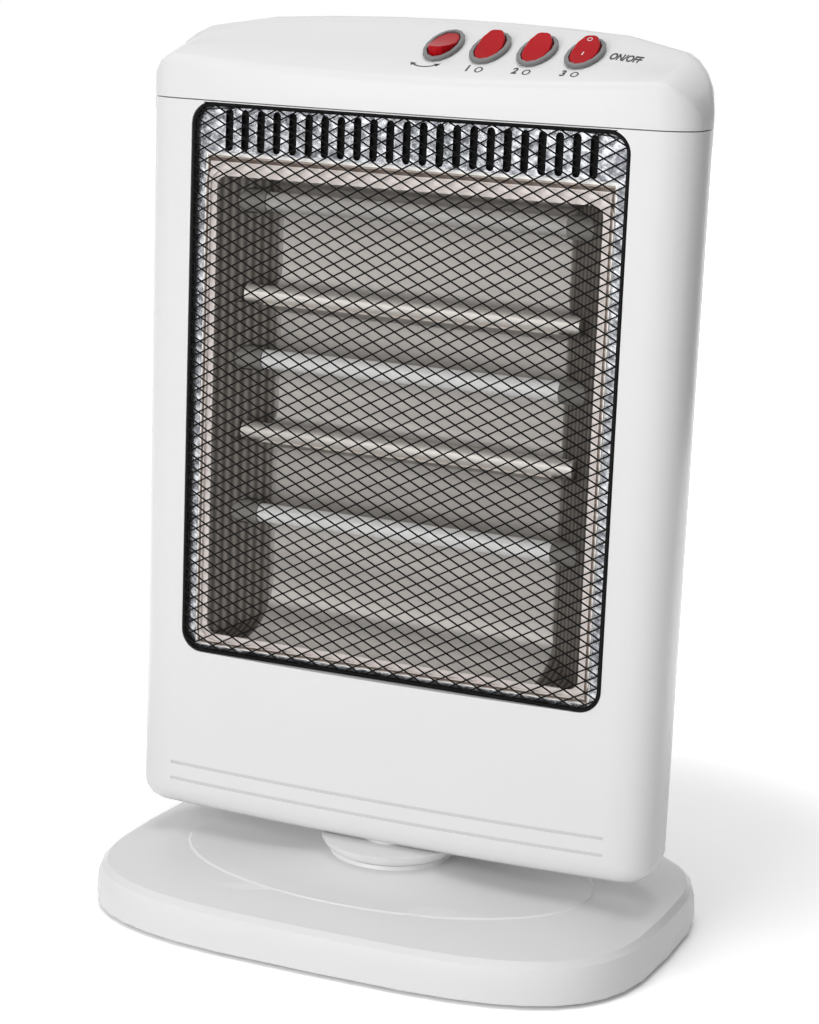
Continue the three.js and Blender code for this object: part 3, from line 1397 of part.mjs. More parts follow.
const motorPiece = addPiece(head, "swing_motor", motor(), STEEL);
motorPiece.position.y = MOTOR_OFFSET;
addPiece(head, "swing_crank", crank(), DARK_PLASTIC).position.y = MOTOR_OFFSET;
addPiece(head, "motor_bridge", motorBridge(), STEEL);

// ---------------------------------------------------------------- terminal block
function terminalBlock() {
  const bottom = FLOOR_TOP + SEAT;
  const y = MOTOR_OFFSET;
  const block = new Body(
    box(
      -BLOCK_HALF_LENGTH,
      BLOCK_HALF_LENGTH,
      y - BLOCK_HALF_DEPTH,
      y + BLOCK_HALF_DEPTH,
      bottom,
      bottom + BLOCK_HEIGHT,
    ),
  );
  for (let i = 1; i < BLOCK_POLES; i++) {
    const x = -BLOCK_HALF_LENGTH + (i * 2 * BLOCK_HALF_LENGTH) / BLOCK_POLES;
    block.cut(box(x - 1, x + 1, y - FAR, y + FAR, bottom + BLOCK_HEIGHT / 2, FAR));
  }
  return block.geometry.translate(BLOCK_X, 0, 0);
}
addPiece(head, "terminal_block", terminalBlock(), DARK_PLASTIC);

export default heater;
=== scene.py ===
"""Oscillating halogen heater: finishes, fine parts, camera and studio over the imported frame."""

import json
import math

import bmesh
import bpy
from mathutils import Euler, Matrix, Vector
from mathutils.bvhtree import BVHTree


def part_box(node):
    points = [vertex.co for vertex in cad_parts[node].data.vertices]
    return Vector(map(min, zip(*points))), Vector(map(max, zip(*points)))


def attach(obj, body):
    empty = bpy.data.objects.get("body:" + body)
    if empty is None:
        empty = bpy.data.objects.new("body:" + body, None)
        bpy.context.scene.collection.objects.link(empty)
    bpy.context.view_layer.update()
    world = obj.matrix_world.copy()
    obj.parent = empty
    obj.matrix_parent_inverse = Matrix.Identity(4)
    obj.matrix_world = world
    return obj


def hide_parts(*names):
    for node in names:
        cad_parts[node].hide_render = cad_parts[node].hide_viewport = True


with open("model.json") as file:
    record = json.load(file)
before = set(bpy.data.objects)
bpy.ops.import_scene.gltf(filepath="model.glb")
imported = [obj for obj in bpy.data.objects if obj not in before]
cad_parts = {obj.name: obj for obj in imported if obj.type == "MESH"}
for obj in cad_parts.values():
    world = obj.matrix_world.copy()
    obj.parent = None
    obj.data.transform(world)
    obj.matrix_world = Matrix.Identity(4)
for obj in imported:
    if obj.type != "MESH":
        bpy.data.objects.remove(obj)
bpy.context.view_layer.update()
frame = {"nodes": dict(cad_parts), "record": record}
nodes = frame["nodes"]
scene = bpy.context.scene
MM = 0.001
SWING_Y = -10 * MM  # the upright axis that the head turns on; the lamps lie in its plane

# ------------------------------------------------------------------ camera
IMAGE_HEIGHT = 1024
VIEW_AZIMUTH = math.radians(23.3)
VIEW_ELEVATION = math.radians(12.4)
VIEW_ROLL = math.radians(2.3)
VIEW_DISTANCE = 1.5057
VIEW_FOCAL_PIXELS = 2628.4
AIM = Vector((0.0, -0.010, 0.270))
AIM_RIGHT = 0.0029
AIM_UP = -0.0251
SENSOR_MM = 36.0
CLIP_END = 20.0


def place_camera():
    """The photo's camera, as matched to the housing, foot and window."""
    forward = Vector(
        (
            -math.sin(VIEW_AZIMUTH) * math.cos(VIEW_ELEVATION),
            math.cos(VIEW_AZIMUTH) * math.cos(VIEW_ELEVATION),
            -math.sin(VIEW_ELEVATION),
        )
    )
    level = Vector((math.cos(VIEW_AZIMUTH), math.sin(VIEW_AZIMUTH), 0.0))
    upward = level.cross(forward)
    right = level * math.cos(VIEW_ROLL) + upward * math.sin(VIEW_ROLL)
    up = upward * math.cos(VIEW_ROLL) - level * math.sin(VIEW_ROLL)
    target = AIM + level * AIM_RIGHT + upward * AIM_UP
    data = bpy.data.cameras.new("studio_camera")
    data.sensor_width = SENSOR_MM
    data.lens = VIEW_FOCAL_PIXELS / IMAGE_HEIGHT * SENSOR_MM
    data.clip_end = CLIP_END
    camera = bpy.data.objects.new("studio_camera", data)
    turn = Matrix((right, up, -forward)).transposed()
    camera.matrix_world = Matrix.Translation(target - forward * VIEW_DISTANCE) @ turn.to_4x4()
    scene.collection.objects.link(camera)
    scene.camera = camera


place_camera()


# ------------------------------------------------------------------ shader helpers
def object_noise(tree, scale, detail=2.0, roughness=0.5, stretch=(1.0, 1.0, 1.0)):
    """Noise in metres on the object; scale is a socket or a number of cells per metre."""
    where = tree.nodes.new("ShaderNodeTexCoord")
    mapping = tree.nodes.new("ShaderNodeMapping")
    mapping.inputs["Scale"].default_value = stretch
    noise = tree.nodes.new("ShaderNodeTexNoise")
    noise.inputs["Detail"].default_value = detail
    noise.inputs["Roughness"].default_value = roughness
    tree.links.new(where.outputs["Object"], mapping.inputs["Vector"])
    tree.links.new(mapping.outputs["Vector"], noise.inputs["Vector"])
    if isinstance(scale, (int, float)):
        noise.inputs["Scale"].default_value = scale
    else:
        tree.links.new(scale, noise.inputs["Scale"])
    return noise.outputs["Fac"]


def spread(tree, value, low, high, from_low=0.35, from_high=0.65):
    """Maps from_low to from_high, by default the middle of a noise, onto low to high."""
    remap = tree.nodes.new("ShaderNodeMapRange")
    remap.inputs["From Min"].default_value = from_low
    remap.inputs["From Max"].default_value = from_high
    remap.inputs["To Min"].default_value = low
    remap.inputs["To Max"].default_value = high
    tree.links.new(value, remap.inputs["Value"])
    return remap.outputs["Result"]


def math_node(tree, operation, *values, clamp=False):
    """A math node on sockets or numbers."""
    node = tree.nodes.new("ShaderNodeMath")
    node.operation = operation
    node.use_clamp = clamp
    for given, value in zip(node.inputs, values):
        if isinstance(value, (int, float)):
            given.default_value = value
        else:
            tree.links.new(value, given)
    return node.outputs["Value"]


def object_axes(tree):
    """The x, y and z sockets of the object's own coordinates."""
    where = tree.nodes.new("ShaderNodeTexCoord")
    parts = tree.nodes.new("ShaderNodeSeparateXYZ")
    tree.links.new(where.outputs["Object"], parts.inputs["Vector"])
    return parts.outputs


def step_mask(tree, value, start, end):
    """Zero at start, one at end, smooth between."""
    remap = tree.nodes.new("ShaderNodeMapRange")
    remap.interpolation_type = "SMOOTHSTEP"
    remap.inputs["From Min"].default_value = start
    remap.inputs["From Max"].default_value = end
    tree.links.new(value, remap.inputs["Value"])
    return remap.outputs["Result"]


def mixed(tree, factor, first, second):
    """Mixes two colours, each a socket or a triple."""
    node = tree.nodes.new("ShaderNodeMix")
    node.data_type = "RGBA"
    tree.links.new(factor, node.inputs["Factor"])
    for given, value in ((node.inputs["A"], first), (node.inputs["B"], second)):
        if isinstance(value, tuple):
            given.default_value = (*value, 1.0)
        else:
            tree.links.new(value, given)
    return node.outputs["Result"]


def fading_mask(tree, value, start, end):
    """One at start, zero at end, smooth between."""
    return math_node(tree, "SUBTRACT", 1.0, step_mask(tree, value, start, end))


# ------------------------------------------------------------------ shader groups
SMUDGE_SCALE = 22.0
HAIR_SCALE = 300.0
HAIR_SHARE = 0.3
STREAK_SCALE = 60.0


def new_group(name, inputs, outputs):
    """An empty group with float inputs {name: default} and outputs {name: socket type}."""
    group = bpy.data.node_groups.new(name, "ShaderNodeTree")
    for socket, default in inputs.items():
        made = group.interface.new_socket(socket, in_out="INPUT", socket_type="NodeSocketFloat")
        made.default_value = default
    for socket, kind in outputs.items():
        group.interface.new_socket(socket, in_out="OUTPUT", socket_type=kind)
    return group, group.nodes.new("NodeGroupInput"), group.nodes.new("NodeGroupOutput")


def make_grain_group():
    """Moulded plastic: a fine grain in height and a broad cloud in colour."""
    group, given, out = new_group(
        "moulded_grain",
        {"Grain Scale": 2500.0, "Cloud Scale": 14.0},
        {"Height": "NodeSocketFloat", "Cloud": "NodeSocketFloat"},
    )
    grain = object_noise(group, given.outputs["Grain Scale"], detail=3.0)
    cloud = object_noise(group, given.outputs["Cloud Scale"], detail=4.0)
    group.links.new(grain, out.inputs["Height"])
    group.links.new(spread(group, cloud, 0.0, 1.0), out.inputs["Cloud"])
    return group


def make_handling_group():
    """Roughness made uneven by smudges and fine upright hairlines."""
    group, given, out = new_group(
        "handling_marks",
        {"Base Roughness": 0.3, "Spread": 0.08},
        {"Roughness": "NodeSocketFloat"},
    )
    smudge = object_noise(group, SMUDGE_SCALE, detail=6.0, roughness=0.62)
    hair = object_noise(group, HAIR_SCALE, detail=2.0, stretch=(1.0, 1.0, 0.06))
    both = math_node(group, "MULTIPLY_ADD", hair, HAIR_SHARE, spread(group, smudge, -0.5, 0.5))
    uneven = math_node(
        group, "MULTIPLY_ADD", both, given.outputs["Spread"], given.outputs["Base Roughness"]
    )
    group.links.new(uneven, out.inputs["Roughness"])
    return group


def make_rolled_group():
    """Rolled sheet: lines along x in height and broad streaks in colour."""
    group, given, out = new_group(
        "rolled_lines",
        {"Line Scale": 900.0},
        {"Height": "NodeSocketFloat", "Streak": "NodeSocketFloat"},
    )
    fine = object_noise(group, given.outputs["Line Scale"], detail=3.0, stretch=(0.02, 1.0, 1.0))
    wide = object_noise(group, STREAK_SCALE, detail=4.0, stretch=(0.05, 1.0, 1.0))
    group.links.new(fine, out.inputs["Height"])
    group.links.new(spread(group, wide, 0.0, 1.0), out.inputs["Streak"])
    return group


GRAIN = make_grain_group()
HANDLING = make_handling_group()
ROLLED = make_rolled_group()


# ------------------------------------------------------------------ finishes
GRAIN_DEPTH = 0.04 * MM
RUBBER_DEPTH = 0.1 * MM


def finish_of(
    name,
    dark,
    light,
    roughness,
    texture=GRAIN,
    marks=0.12,
    bump=0.05,
    bump_depth=GRAIN_DEPTH,
    **sockets,
):
    """A finish whose colour runs from dark to light with its texture's cloud or streak."""
    material = bpy.data.materials.new(name)
    material.use_nodes = True
    tree = material.node_tree
    shader = tree.nodes["Principled BSDF"]
    surface = tree.nodes.new("ShaderNodeGroup")
    surface.node_tree = texture
    wear = tree.nodes.new("ShaderNodeGroup")
    wear.node_tree = HANDLING
    wear.inputs["Base Roughness"].default_value = roughness
    wear.inputs["Spread"].default_value = roughness * marks
    colour = tree.nodes.new("ShaderNodeMix")
    colour.data_type = "RGBA"
    colour.inputs["A"].default_value = (*dark, 1.0)
    colour.inputs["B"].default_value = (*light, 1.0)
    tree.links.new(surface.outputs[1], colour.inputs["Factor"])
    tree.links.new(colour.outputs["Result"], shader.inputs["Base Color"])
    tree.links.new(wear.outputs["Roughness"], shader.inputs["Roughness"])
    relief = tree.nodes.new("ShaderNodeBump")
    relief.inputs["Strength"].default_value = bump
    relief.inputs["Distance"].default_value = bump_depth
    tree.links.new(surface.outputs["Height"], relief.inputs["Height"])
    tree.links.new(relief.outputs["Normal"], shader.inputs["Normal"])
    for socket, value in sockets.items():
        shader.inputs[socket.replace("_", " ")].default_value = value
    return material


def grey(level):
    return (level, level, level)


def white_plastic(name):
    """The glossy white of the covers, cap and foot."""
    dark, light = (0.807, 0.802, 0.807), (0.813, 0.808, 0.813)
    return finish_of(name, dark, light, 0.26, marks=0.03, bump=0.3, Specular_IOR_Level=0.24)


white_gloss = white_plastic("white_gloss")
black_enamel = finish_of(
    "black_enamel", grey(0.002), grey(0.005), 0.5, bump=0.4, Specular_IOR_Level=0.08
)
zinc = finish_of("zinc_plated", (0.45, 0.46, 0.46), (0.62, 0.62, 0.6), 0.4, bump=0.3, Metallic=1.0)
ceramic = finish_of("unglazed_ceramic", (0.17, 0.16, 0.15), (0.24, 0.23, 0.21), 0.6, bump=0.6)
grey_satin = finish_of("grey_satin", grey(0.165), grey(0.2), 0.42, bump=0.6)
red_gloss = finish_of(
    "red_gloss", (0.40, 0.001, 0.005), (0.46, 0.002, 0.008), 0.3, bump=0.2, Specular_IOR_Level=0.08
)
black_rubber = finish_of(
    "black_rubber", grey(0.012), grey(0.03), 0.8, bump=0.9, bump_depth=RUBBER_DEPTH
)
dark_plastic = finish_of("dark_plastic", grey(0.02), grey(0.035), 0.5, bump=0.7)
tungsten = finish_of(
    "tungsten_coil", (0.22, 0.2, 0.19), (0.34, 0.32, 0.3), 0.35, bump=0.5, Metallic=1.0
)
print_black = finish_of("print_black", grey(0.006), grey(0.014), 0.45, bump=0.3)
print_white = finish_of("print_white", grey(0.7), grey(0.82), 0.45, bump=0.3)


def relief_on(tree, height, strength, depth):
    """A second bump over the one that the finish has."""
    second = tree.nodes.new("ShaderNodeBump")
    second.inputs["Strength"].default_value = strength
    second.inputs["Distance"].default_value = depth
    tree.links.new(height, second.inputs["Height"])
    tree.links.new(tree.nodes["Bump"].outputs["Normal"], second.inputs["Normal"])
    tree.links.new(second.outputs["Normal"], tree.nodes["Principled BSDF"].inputs["Normal"])


def recolour(tree, colour):
    """Puts another colour socket in the place of the finish's own."""
    tree.links.new(colour, tree.nodes["Principled BSDF"].inputs["Base Color"])


BACK_WALL_Y = 3 * MM
CUSP_Y = -18 * MM
SIDE_WALL_X = 90 * MM
SIDE_FOLD_SCALE = 90.0
SIDE_FOLD_DISTORTION = 0.4
SIDE_FOLD_DEPTH = 0.4 * MM
# Side walls striped dark to light along their upright folds: painted shade and painted highlight.
SIDE_FOLD_PAINTED_SHADE, SIDE_FOLD_PAINTED_HIGHLIGHT = (0.055, 0.047, 0.04), (0.20, 0.18, 0.16)
# Pale colour on the folds between the lamps: a painted reflection of the bright front.
FOLD_PAINTED_REFLECTION = (0.95, 0.91, 0.87)


def aluminium(name, dark, light):
    """Rolled sheet with a dull shine."""
    return finish_of(name, dark, light, 0.36, texture=ROLLED, bump=0.25, Metallic=0.35)


def folded_sheet():
    """Reflector sheet: dull back; pale folds between the lamps, a painted reflection of the bright
    front; brown sides striped with painted shade and highlight along their upright folds.
    """
    material = aluminium("mirror_sheet", (0.305, 0.287, 0.270), (0.415, 0.392, 0.37))
    tree = material.node_tree
    x, y, _ = object_axes(tree)
    plain = tree.nodes["Mix"].outputs["Result"]
    side = step_mask(tree, math_node(tree, "ABSOLUTE", x), SIDE_WALL_X, SIDE_WALL_X + 2 * MM)
    ahead = step_mask(tree, y, BACK_WALL_Y - 2 * MM, CUSP_Y + 4 * MM)
    waves = tree.nodes.new("ShaderNodeTexWave")
    waves.bands_direction = "X"
    waves.inputs["Scale"].default_value = SIDE_FOLD_SCALE
    waves.inputs["Distortion"].default_value = SIDE_FOLD_DISTORTION
    where = tree.nodes.new("ShaderNodeTexCoord")
    tree.links.new(where.outputs["Object"], waves.inputs["Vector"])
    # Stripes of painted shade and highlight that follow the folds' relief.
    painted_fold_stripes = mixed(tree, waves.outputs["Fac"], SIDE_FOLD_PAINTED_SHADE, SIDE_FOLD_PAINTED_HIGHLIGHT)
    # The folds ahead of the back wall are painted pale: a painted reflection.
    pale = mixed(tree, ahead, plain, FOLD_PAINTED_REFLECTION)
    recolour(tree, mixed(tree, side, pale, painted_fold_stripes))
    relief = math_node(tree, "MULTIPLY", waves.outputs["Fac"], side)
    relief_on(tree, relief, 0.35, SIDE_FOLD_DEPTH)
    return material


RECESS_HALF_WIDTH = 117 * MM
RECESS_BOTTOM, RECESS_TOP = 159.5 * MM, 430 * MM
FRAME_REACH = 12 * MM
# Bands by distance past the recess, painted as light and shade on the rolled edge: a pale band, a
# dark brown painted shadow line, a tan band, a white painted highlight.
FRAME_PAINTED_BANDS = (
    (0.0, (0.74, 0.67, 0.64)),
    (4.4 * MM, (0.11, 0.075, 0.055)),
    (5.6 * MM, (0.42, 0.35, 0.30)),
    (6.2 * MM, (0.95, 0.94, 0.92)),
)
FRAME_END = 7.2 * MM
FRAME_EDGE = 0.2 * MM
FRAME_TOP_SHARE = 0.55  # the bands are 1 / 0.55 as wide along the top as at the sides
DENT_SCALE = 210.0
DENT_DEPTH = 1.0 * MM
PLATE_DARK, PLATE_LIGHT = (0.13, 0.135, 0.15), (0.46, 0.47, 0.49)
FRAME_METALLIC, PLATE_EXTRA_METALLIC = 0.1, 0.7


def hammered_sheet():
    """Face plate: mottled bright sheet with a pale, brown and white frame round the recess, painted
    as the light and shade of its rolled edge: the brown is a painted shadow line, the white a
    painted highlight.
    """
    material = finish_of(
        "hammered_sheet", PLATE_DARK, PLATE_LIGHT, 0.27, texture=ROLLED, bump=0.2
    )
    tree = material.node_tree
    x, _, z = object_axes(tree)
    past_x = math_node(tree, "SUBTRACT", math_node(tree, "ABSOLUTE", x), RECESS_HALF_WIDTH)
    past_top = math_node(
        tree, "MULTIPLY", math_node(tree, "SUBTRACT", z, RECESS_TOP), FRAME_TOP_SHARE
    )
    past_bottom = math_node(tree, "SUBTRACT", RECESS_BOTTOM, z)
    past = math_node(tree, "MAXIMUM", past_x, math_node(tree, "MAXIMUM", past_top, past_bottom))
    # The bands round the recess are painted light and shade of the rolled edge.
    bands = tree.nodes.new("ShaderNodeValToRGB")
    ramp = bands.color_ramp
    ramp.interpolation = "CONSTANT"
    for index, (start, colour) in enumerate(FRAME_PAINTED_BANDS):
        stop = ramp.elements[index] if index < 2 else ramp.elements.new(start / FRAME_REACH)
        stop.position = start / FRAME_REACH
        stop.color = (*colour, 1.0)
    tree.links.new(math_node(tree, "DIVIDE", past, FRAME_REACH), bands.inputs["Fac"])
    dents = object_noise(tree, DENT_SCALE, detail=3.0, roughness=0.6)
    plain = mixed(tree, spread(tree, dents, 0.0, 1.0, 0.38, 0.62), PLATE_DARK, PLATE_LIGHT)
    outside = step_mask(tree, past, FRAME_END, FRAME_END + FRAME_EDGE)
    recolour(tree, mixed(tree, outside, bands.outputs["Color"], plain))
    relief_on(tree, math_node(tree, "MULTIPLY", dents, outside), 0.45, DENT_DEPTH)
    shine = math_node(tree, "MULTIPLY_ADD", outside, PLATE_EXTRA_METALLIC, FRAME_METALLIC)
    tree.links.new(shine, tree.nodes["Principled BSDF"].inputs["Metallic"])
    return material


mirror_sheet = folded_sheet()
# A lighter copy of the reflector's aluminium for the fold noses: painted light on the folds.
fold_painted_highlight = aluminium("fold_painted_highlight", (0.50, 0.47, 0.44), (0.62, 0.585, 0.55))
face_sheet = hammered_sheet()

# Above SEAM_Z the covers are painted near black: a painted shadow in the gap under the cap.
SEAM_Z = 472.05 * MM
SEAM_FADE = 0.1 * MM
# The front grooves are darkened in colour: painted shade in the grooves.
GROOVE_HEIGHTS = (67 * MM, 77 * MM)
GROOVE_HALF = 1.1 * MM
GROOVE_REACH, GROOVE_FADE = 137 * MM, 1.5 * MM
GROOVE_Y = SWING_Y - 16 * MM  # the grooves lie ahead of this
GROOVE_Y_FADE = 1 * MM
GROOVE_PAINTED_SHADE = (0.69, 0.68, 0.68)


def white_with_dark_seam():
    """The covers' white, with painted shade in the front grooves and a near-black painted shadow on
    the collar inside the cap.
    """
    material = white_plastic("white_cover")
    tree = material.node_tree
    x, y, z = object_axes(tree)
    colour = tree.nodes["Mix"].outputs["Result"]
    aside = math_node(tree, "ABSOLUTE", x)
    along = fading_mask(tree, aside, GROOVE_REACH, GROOVE_REACH + GROOVE_FADE)
    front = fading_mask(tree, y, GROOVE_Y, GROOVE_Y + GROOVE_Y_FADE)
    here = math_node(tree, "MULTIPLY", along, front)
    # Painted shade along each front groove.
    for height in GROOVE_HEIGHTS:
        off = math_node(tree, "ABSOLUTE", math_node(tree, "SUBTRACT", z, height))
        inside = fading_mask(tree, off, 0.5 * GROOVE_HALF, GROOVE_HALF)
        colour = mixed(tree, math_node(tree, "MULTIPLY", inside, here), colour, GROOVE_PAINTED_SHADE)
    # Painted shadow: the collar inside the cap is near black.
    painted_seam_shadow = step_mask(tree, z, SEAM_Z, SEAM_Z + SEAM_FADE)
    recolour(tree, mixed(tree, painted_seam_shadow, colour, grey(0.01)))
    return material


white_painted_shade = white_with_dark_seam()

QUARTZ_IOR = 1.46
QUARTZ_CLEAR_SHARE = 0.12
QUARTZ_STREAK_SCALE = 120.0


def quartz(name, tint):
    """Lamp glass, little of it clear, so its tint is painted light: near white as a painted
    highlight, grey as painted shade; faint drawing streaks run in its roughness.
    """
    material = bpy.data.materials.new(name)
    material.use_nodes = True
    tree = material.node_tree
    shader = tree.nodes["Principled BSDF"]
    shader.inputs["Base Color"].default_value = (*tint, 1.0)
    shader.inputs["Transmission Weight"].default_value = QUARTZ_CLEAR_SHARE
    shader.inputs["IOR"].default_value = QUARTZ_IOR
    streak = object_noise(tree, QUARTZ_STREAK_SCALE, detail=3.0, stretch=(0.04, 1.0, 1.0))
    tree.links.new(spread(tree, streak, 0.10, 0.22), shader.inputs["Roughness"])
    return material


# The lower lamps' glass is near white and mostly not clear: a painted highlight.
painted_highlight_glass = quartz("quartz_painted_highlight", (0.98, 0.975, 0.965))
# The top lamp's glass is painted grey: painted shade.
top_lamp_painted_shade_glass = quartz("quartz_painted_shade", (0.56, 0.54, 0.52))


# ------------------------------------------------------------------ meshes
WELD = 1e-6
FINE_WELD = 1e-7
CAD_WELD = 2e-6
FLAT_ANGLE = math.radians(0.6)
BEVEL_SEGMENTS = 2
BEVEL_ANGLE = math.radians(40.0)


def settle(bm, name, material, body, smooth_angle=35.0):
    """Writes the mesh as a piece: doubles merged, sharp edges marked, riding on its body."""
    bmesh.ops.remove_doubles(bm, verts=bm.verts, dist=WELD)
    for face in bm.faces:
        face.smooth = True
    limit = math.radians(smooth_angle)
    for edge in bm.edges:
        edge.smooth = len(edge.link_faces) == 2 and edge.calc_face_angle(0.0) < limit
    mesh = bpy.data.meshes.new(name)
    bm.to_mesh(mesh)
    bm.free()
    mesh.materials.append(material)
    piece = bpy.data.objects.new(name, mesh)
    scene.collection.objects.link(piece)
    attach(piece, body)
    return piece


def join_mesh(bm, other):
    """Moves the other mesh into bm."""
    shell = bpy.data.meshes.new("joined")
    other.to_mesh(shell)
    other.free()
    bm.from_mesh(shell)
    bpy.data.meshes.remove(shell)


def soften(piece, width):
    """A small round on every sharp edge."""
    bevel = piece.modifiers.new("edge_round", "BEVEL")
    bevel.width = width
    bevel.segments = BEVEL_SEGMENTS
    bevel.limit_method = "ANGLE"
    bevel.angle_limit = BEVEL_ANGLE
    bevel.use_clamp_overlap = True
    bevel.harden_normals = True


BODIES = frame["record"]["behaviour"]["bodies"]
BODY_OF = {node: body for body, names in BODIES.items() for node in names}


def refined(node, material, edge_round=0.0, smooth_angle=35.0):
    """A merged, smooth-shaded copy that stands for a CAD node."""
    bm = bmesh.new()
    bm.from_mesh(nodes[node].data)
    bmesh.ops.remove_doubles(bm, verts=bm.verts, dist=CAD_WELD)
    bmesh.ops.dissolve_limit(bm, angle_limit=FLAT_ANGLE, verts=bm.verts, edges=bm.edges)
    piece = settle(bm, "dressed_" + node, material, BODY_OF[node], smooth_angle)
    if edge_round:
        soften(piece, edge_round)
    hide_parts(node)
    return piece


refined("foot_cover", white_gloss, 0.2 * MM, smooth_angle=22.0)
refined("collar", white_gloss, 0.4 * MM)
refined("front_cover", white_painted_shade, 0.18 * MM)
refined("rear_cover", white_painted_shade, 0.4 * MM)
refined("top_cap", white_gloss, 0.4 * MM, smooth_angle=50.0)
refined("face_plate", face_sheet, 0.3 * MM)
refined("reflector", mirror_sheet, smooth_angle=30.0)
for index in range(1, 5):
    refined(f"switch_{index}", grey_satin, 0.4 * MM)
    refined(f"rocker_{index}", red_gloss, 0.9 * MM, smooth_angle=25.0)
for index in range(1, 4):
    for side in ("left", "right"):
        refined(f"lamp_{index}_cap_{side}", ceramic, 0.3 * MM)
for node in (
    "floor_plate",
    "pivot_post",
    "thrust_washer",
    "drive_arm",
    "pivot_nut",
    "lamp_hanger_left",
    "lamp_hanger_right",
    "thermal_cutout",
    "swing_motor",
    "motor_bridge",
):
    refined(node, zinc, 0.2 * MM)
for node in ("pad_front_left", "pad_front_right", "pad_rear_left", "pad_rear_right"):
    refined(node, black_rubber, 0.3 * MM)
for node in ("tip_switch_body", "tip_plunger", "cord_gland", "swing_crank", "terminal_block"):
    refined(node, dark_plastic, 0.3 * MM)

# ------------------------------------------------------------------ guard
WINDOW_HALF_WIDTH = 132 * MM
WINDOW_BOTTOM, WINDOW_TOP = 148.4 * MM, 471.5 * MM
WINDOW_RADIUS = 13 * MM
RIM_WIRE = 1.25 * MM
RIM_INSET = 1.35 * MM
RIM_DEPTH_Y = SWING_Y - 20.0 * MM
RIM_STRETCH = 1.6  # the rim wire is this much deeper than it is wide
HEM_WIRE = 0.8 * MM
HEM_HALF = 124 * MM
HEM_STEPS = 24
FRONT_Y = SWING_Y - 27 * MM
FRONT_CROWN_RADIUS = 1.707
MESH_WIRE = 0.48 * MM
MESH_PITCH_X, MESH_PITCH_Z = 13.0 * MM, 6.95 * MM
MESH_Y = SWING_Y - 21.4 * MM
MESH_CROWN = 2.6 * MM
LAYER_SHARE = 0.7  # each layer's offset from the net's middle, in wire radii
WIRE_SIDES = 6
WIRE_CUT = 12 * MM
SCAN_STEP = 0.25 * MM
FEWEST_HITS = 8


def window_path(inset, steps=8):
    """Points round the window, drawn in by inset."""
    half, low, high = WINDOW_HALF_WIDTH - inset, WINDOW_BOTTOM + inset, WINDOW_TOP - inset
    radius = WINDOW_RADIUS - inset
    points = []
    for x, z, start in (
        (half - radius, low + radius, -90),
        (half - radius, high - radius, 0),
        (radius - half, high - radius, 90),
        (radius - half, low + radius, 180),
    ):
        for step in range(steps + 1):
            angle = math.radians(start + 90 * step / steps)
            points.append((x + radius * math.cos(angle), z + radius * math.sin(angle)))
    return points


def tube_along(points, radius, sides=8, closed=False):
    """A round wire through points, as a mesh made from a bevelled curve."""
    curve = bpy.data.curves.new("wire", "CURVE")
    curve.dimensions = "3D"
    curve.bevel_depth = radius
    curve.bevel_resolution = max(0, sides // 2 - 2)
    curve.use_fill_caps = True
    spline = curve.splines.new("POLY")
    spline.points.add(len(points) - 1)
    for point, at in zip(spline.points, points):
        point.co = (*at, 1.0)
    spline.use_cyclic_u = closed
    holder = bpy.data.objects.new("wire", curve)
    scene.collection.objects.link(holder)
    depsgraph = bpy.context.evaluated_depsgraph_get()
    shaped = bpy.data.meshes.new_from_object(holder.evaluated_get(depsgraph))
    bm = bmesh.new()
    bm.from_mesh(shaped)
    bpy.data.objects.remove(holder)
    bpy.data.curves.remove(curve)
    bpy.data.meshes.remove(shaped)
    bmesh.ops.remove_doubles(bm, verts=bm.verts, dist=FINE_WELD)
    bmesh.ops.recalc_face_normals(bm, faces=bm.faces)
    return bm


rim_points = [(x, 0.0, z) for x, z in window_path(RIM_INSET)]
rim_mesh = tube_along(rim_points, RIM_WIRE, sides=12, closed=True)
for vert in rim_mesh.verts:
    vert.co.y = RIM_DEPTH_Y + vert.co.y * RIM_STRETCH
hem_points = []
for step in range(HEM_STEPS + 1):
    x = -HEM_HALF + 2 * HEM_HALF * step / HEM_STEPS
    y = FRONT_Y + x**2 / (2 * FRONT_CROWN_RADIUS) + HEM_WIRE
    hem_points.append((x, y, WINDOW_TOP - HEM_WIRE / 2))
join_mesh(rim_mesh, tube_along(hem_points, HEM_WIRE, sides=10))
rim = settle(rim_mesh, "rim_wire", black_enamel, "head", 80)
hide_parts("guard_rim")


def crown_at(x, z):
    """How far the net stands forward at a point of the window."""
    inward = min(WINDOW_HALF_WIDTH - abs(x), z - WINDOW_BOTTOM, WINDOW_TOP - z)
    share = min(max(inward / WINDOW_HALF_WIDTH, 0.0), 1.0)
    return MESH_CROWN * (1 - (1 - share) ** 2)


def inside_window(x, z, inset):
    """True where a point lies in the window's rounded outline drawn in by inset."""
    half, low, high = WINDOW_HALF_WIDTH - inset, WINDOW_BOTTOM + inset, WINDOW_TOP - inset
    radius = WINDOW_RADIUS - inset
    past_x = abs(x) - (half - radius)
    past_z = max(low + radius - z, z - (high - radius))
    if past_x > 0 and past_z > 0:
        return math.hypot(past_x, past_z) <= radius
    return past_x <= radius and past_z <= radius


def wire_ends(offset, slope):
    """Where the wire z = offset + slope x meets the rim, from left to right, or None."""
    count = int(2 * WINDOW_HALF_WIDTH / SCAN_STEP)
    hits = []
    for step in range(count + 1):
        x = -WINDOW_HALF_WIDTH + step * SCAN_STEP
        if inside_window(x, offset + slope * x, RIM_INSET):
            hits.append(x)
    if len(hits) < FEWEST_HITS:
        return None
    return [(x, offset + slope * x) for x in (hits[0], hits[-1])]


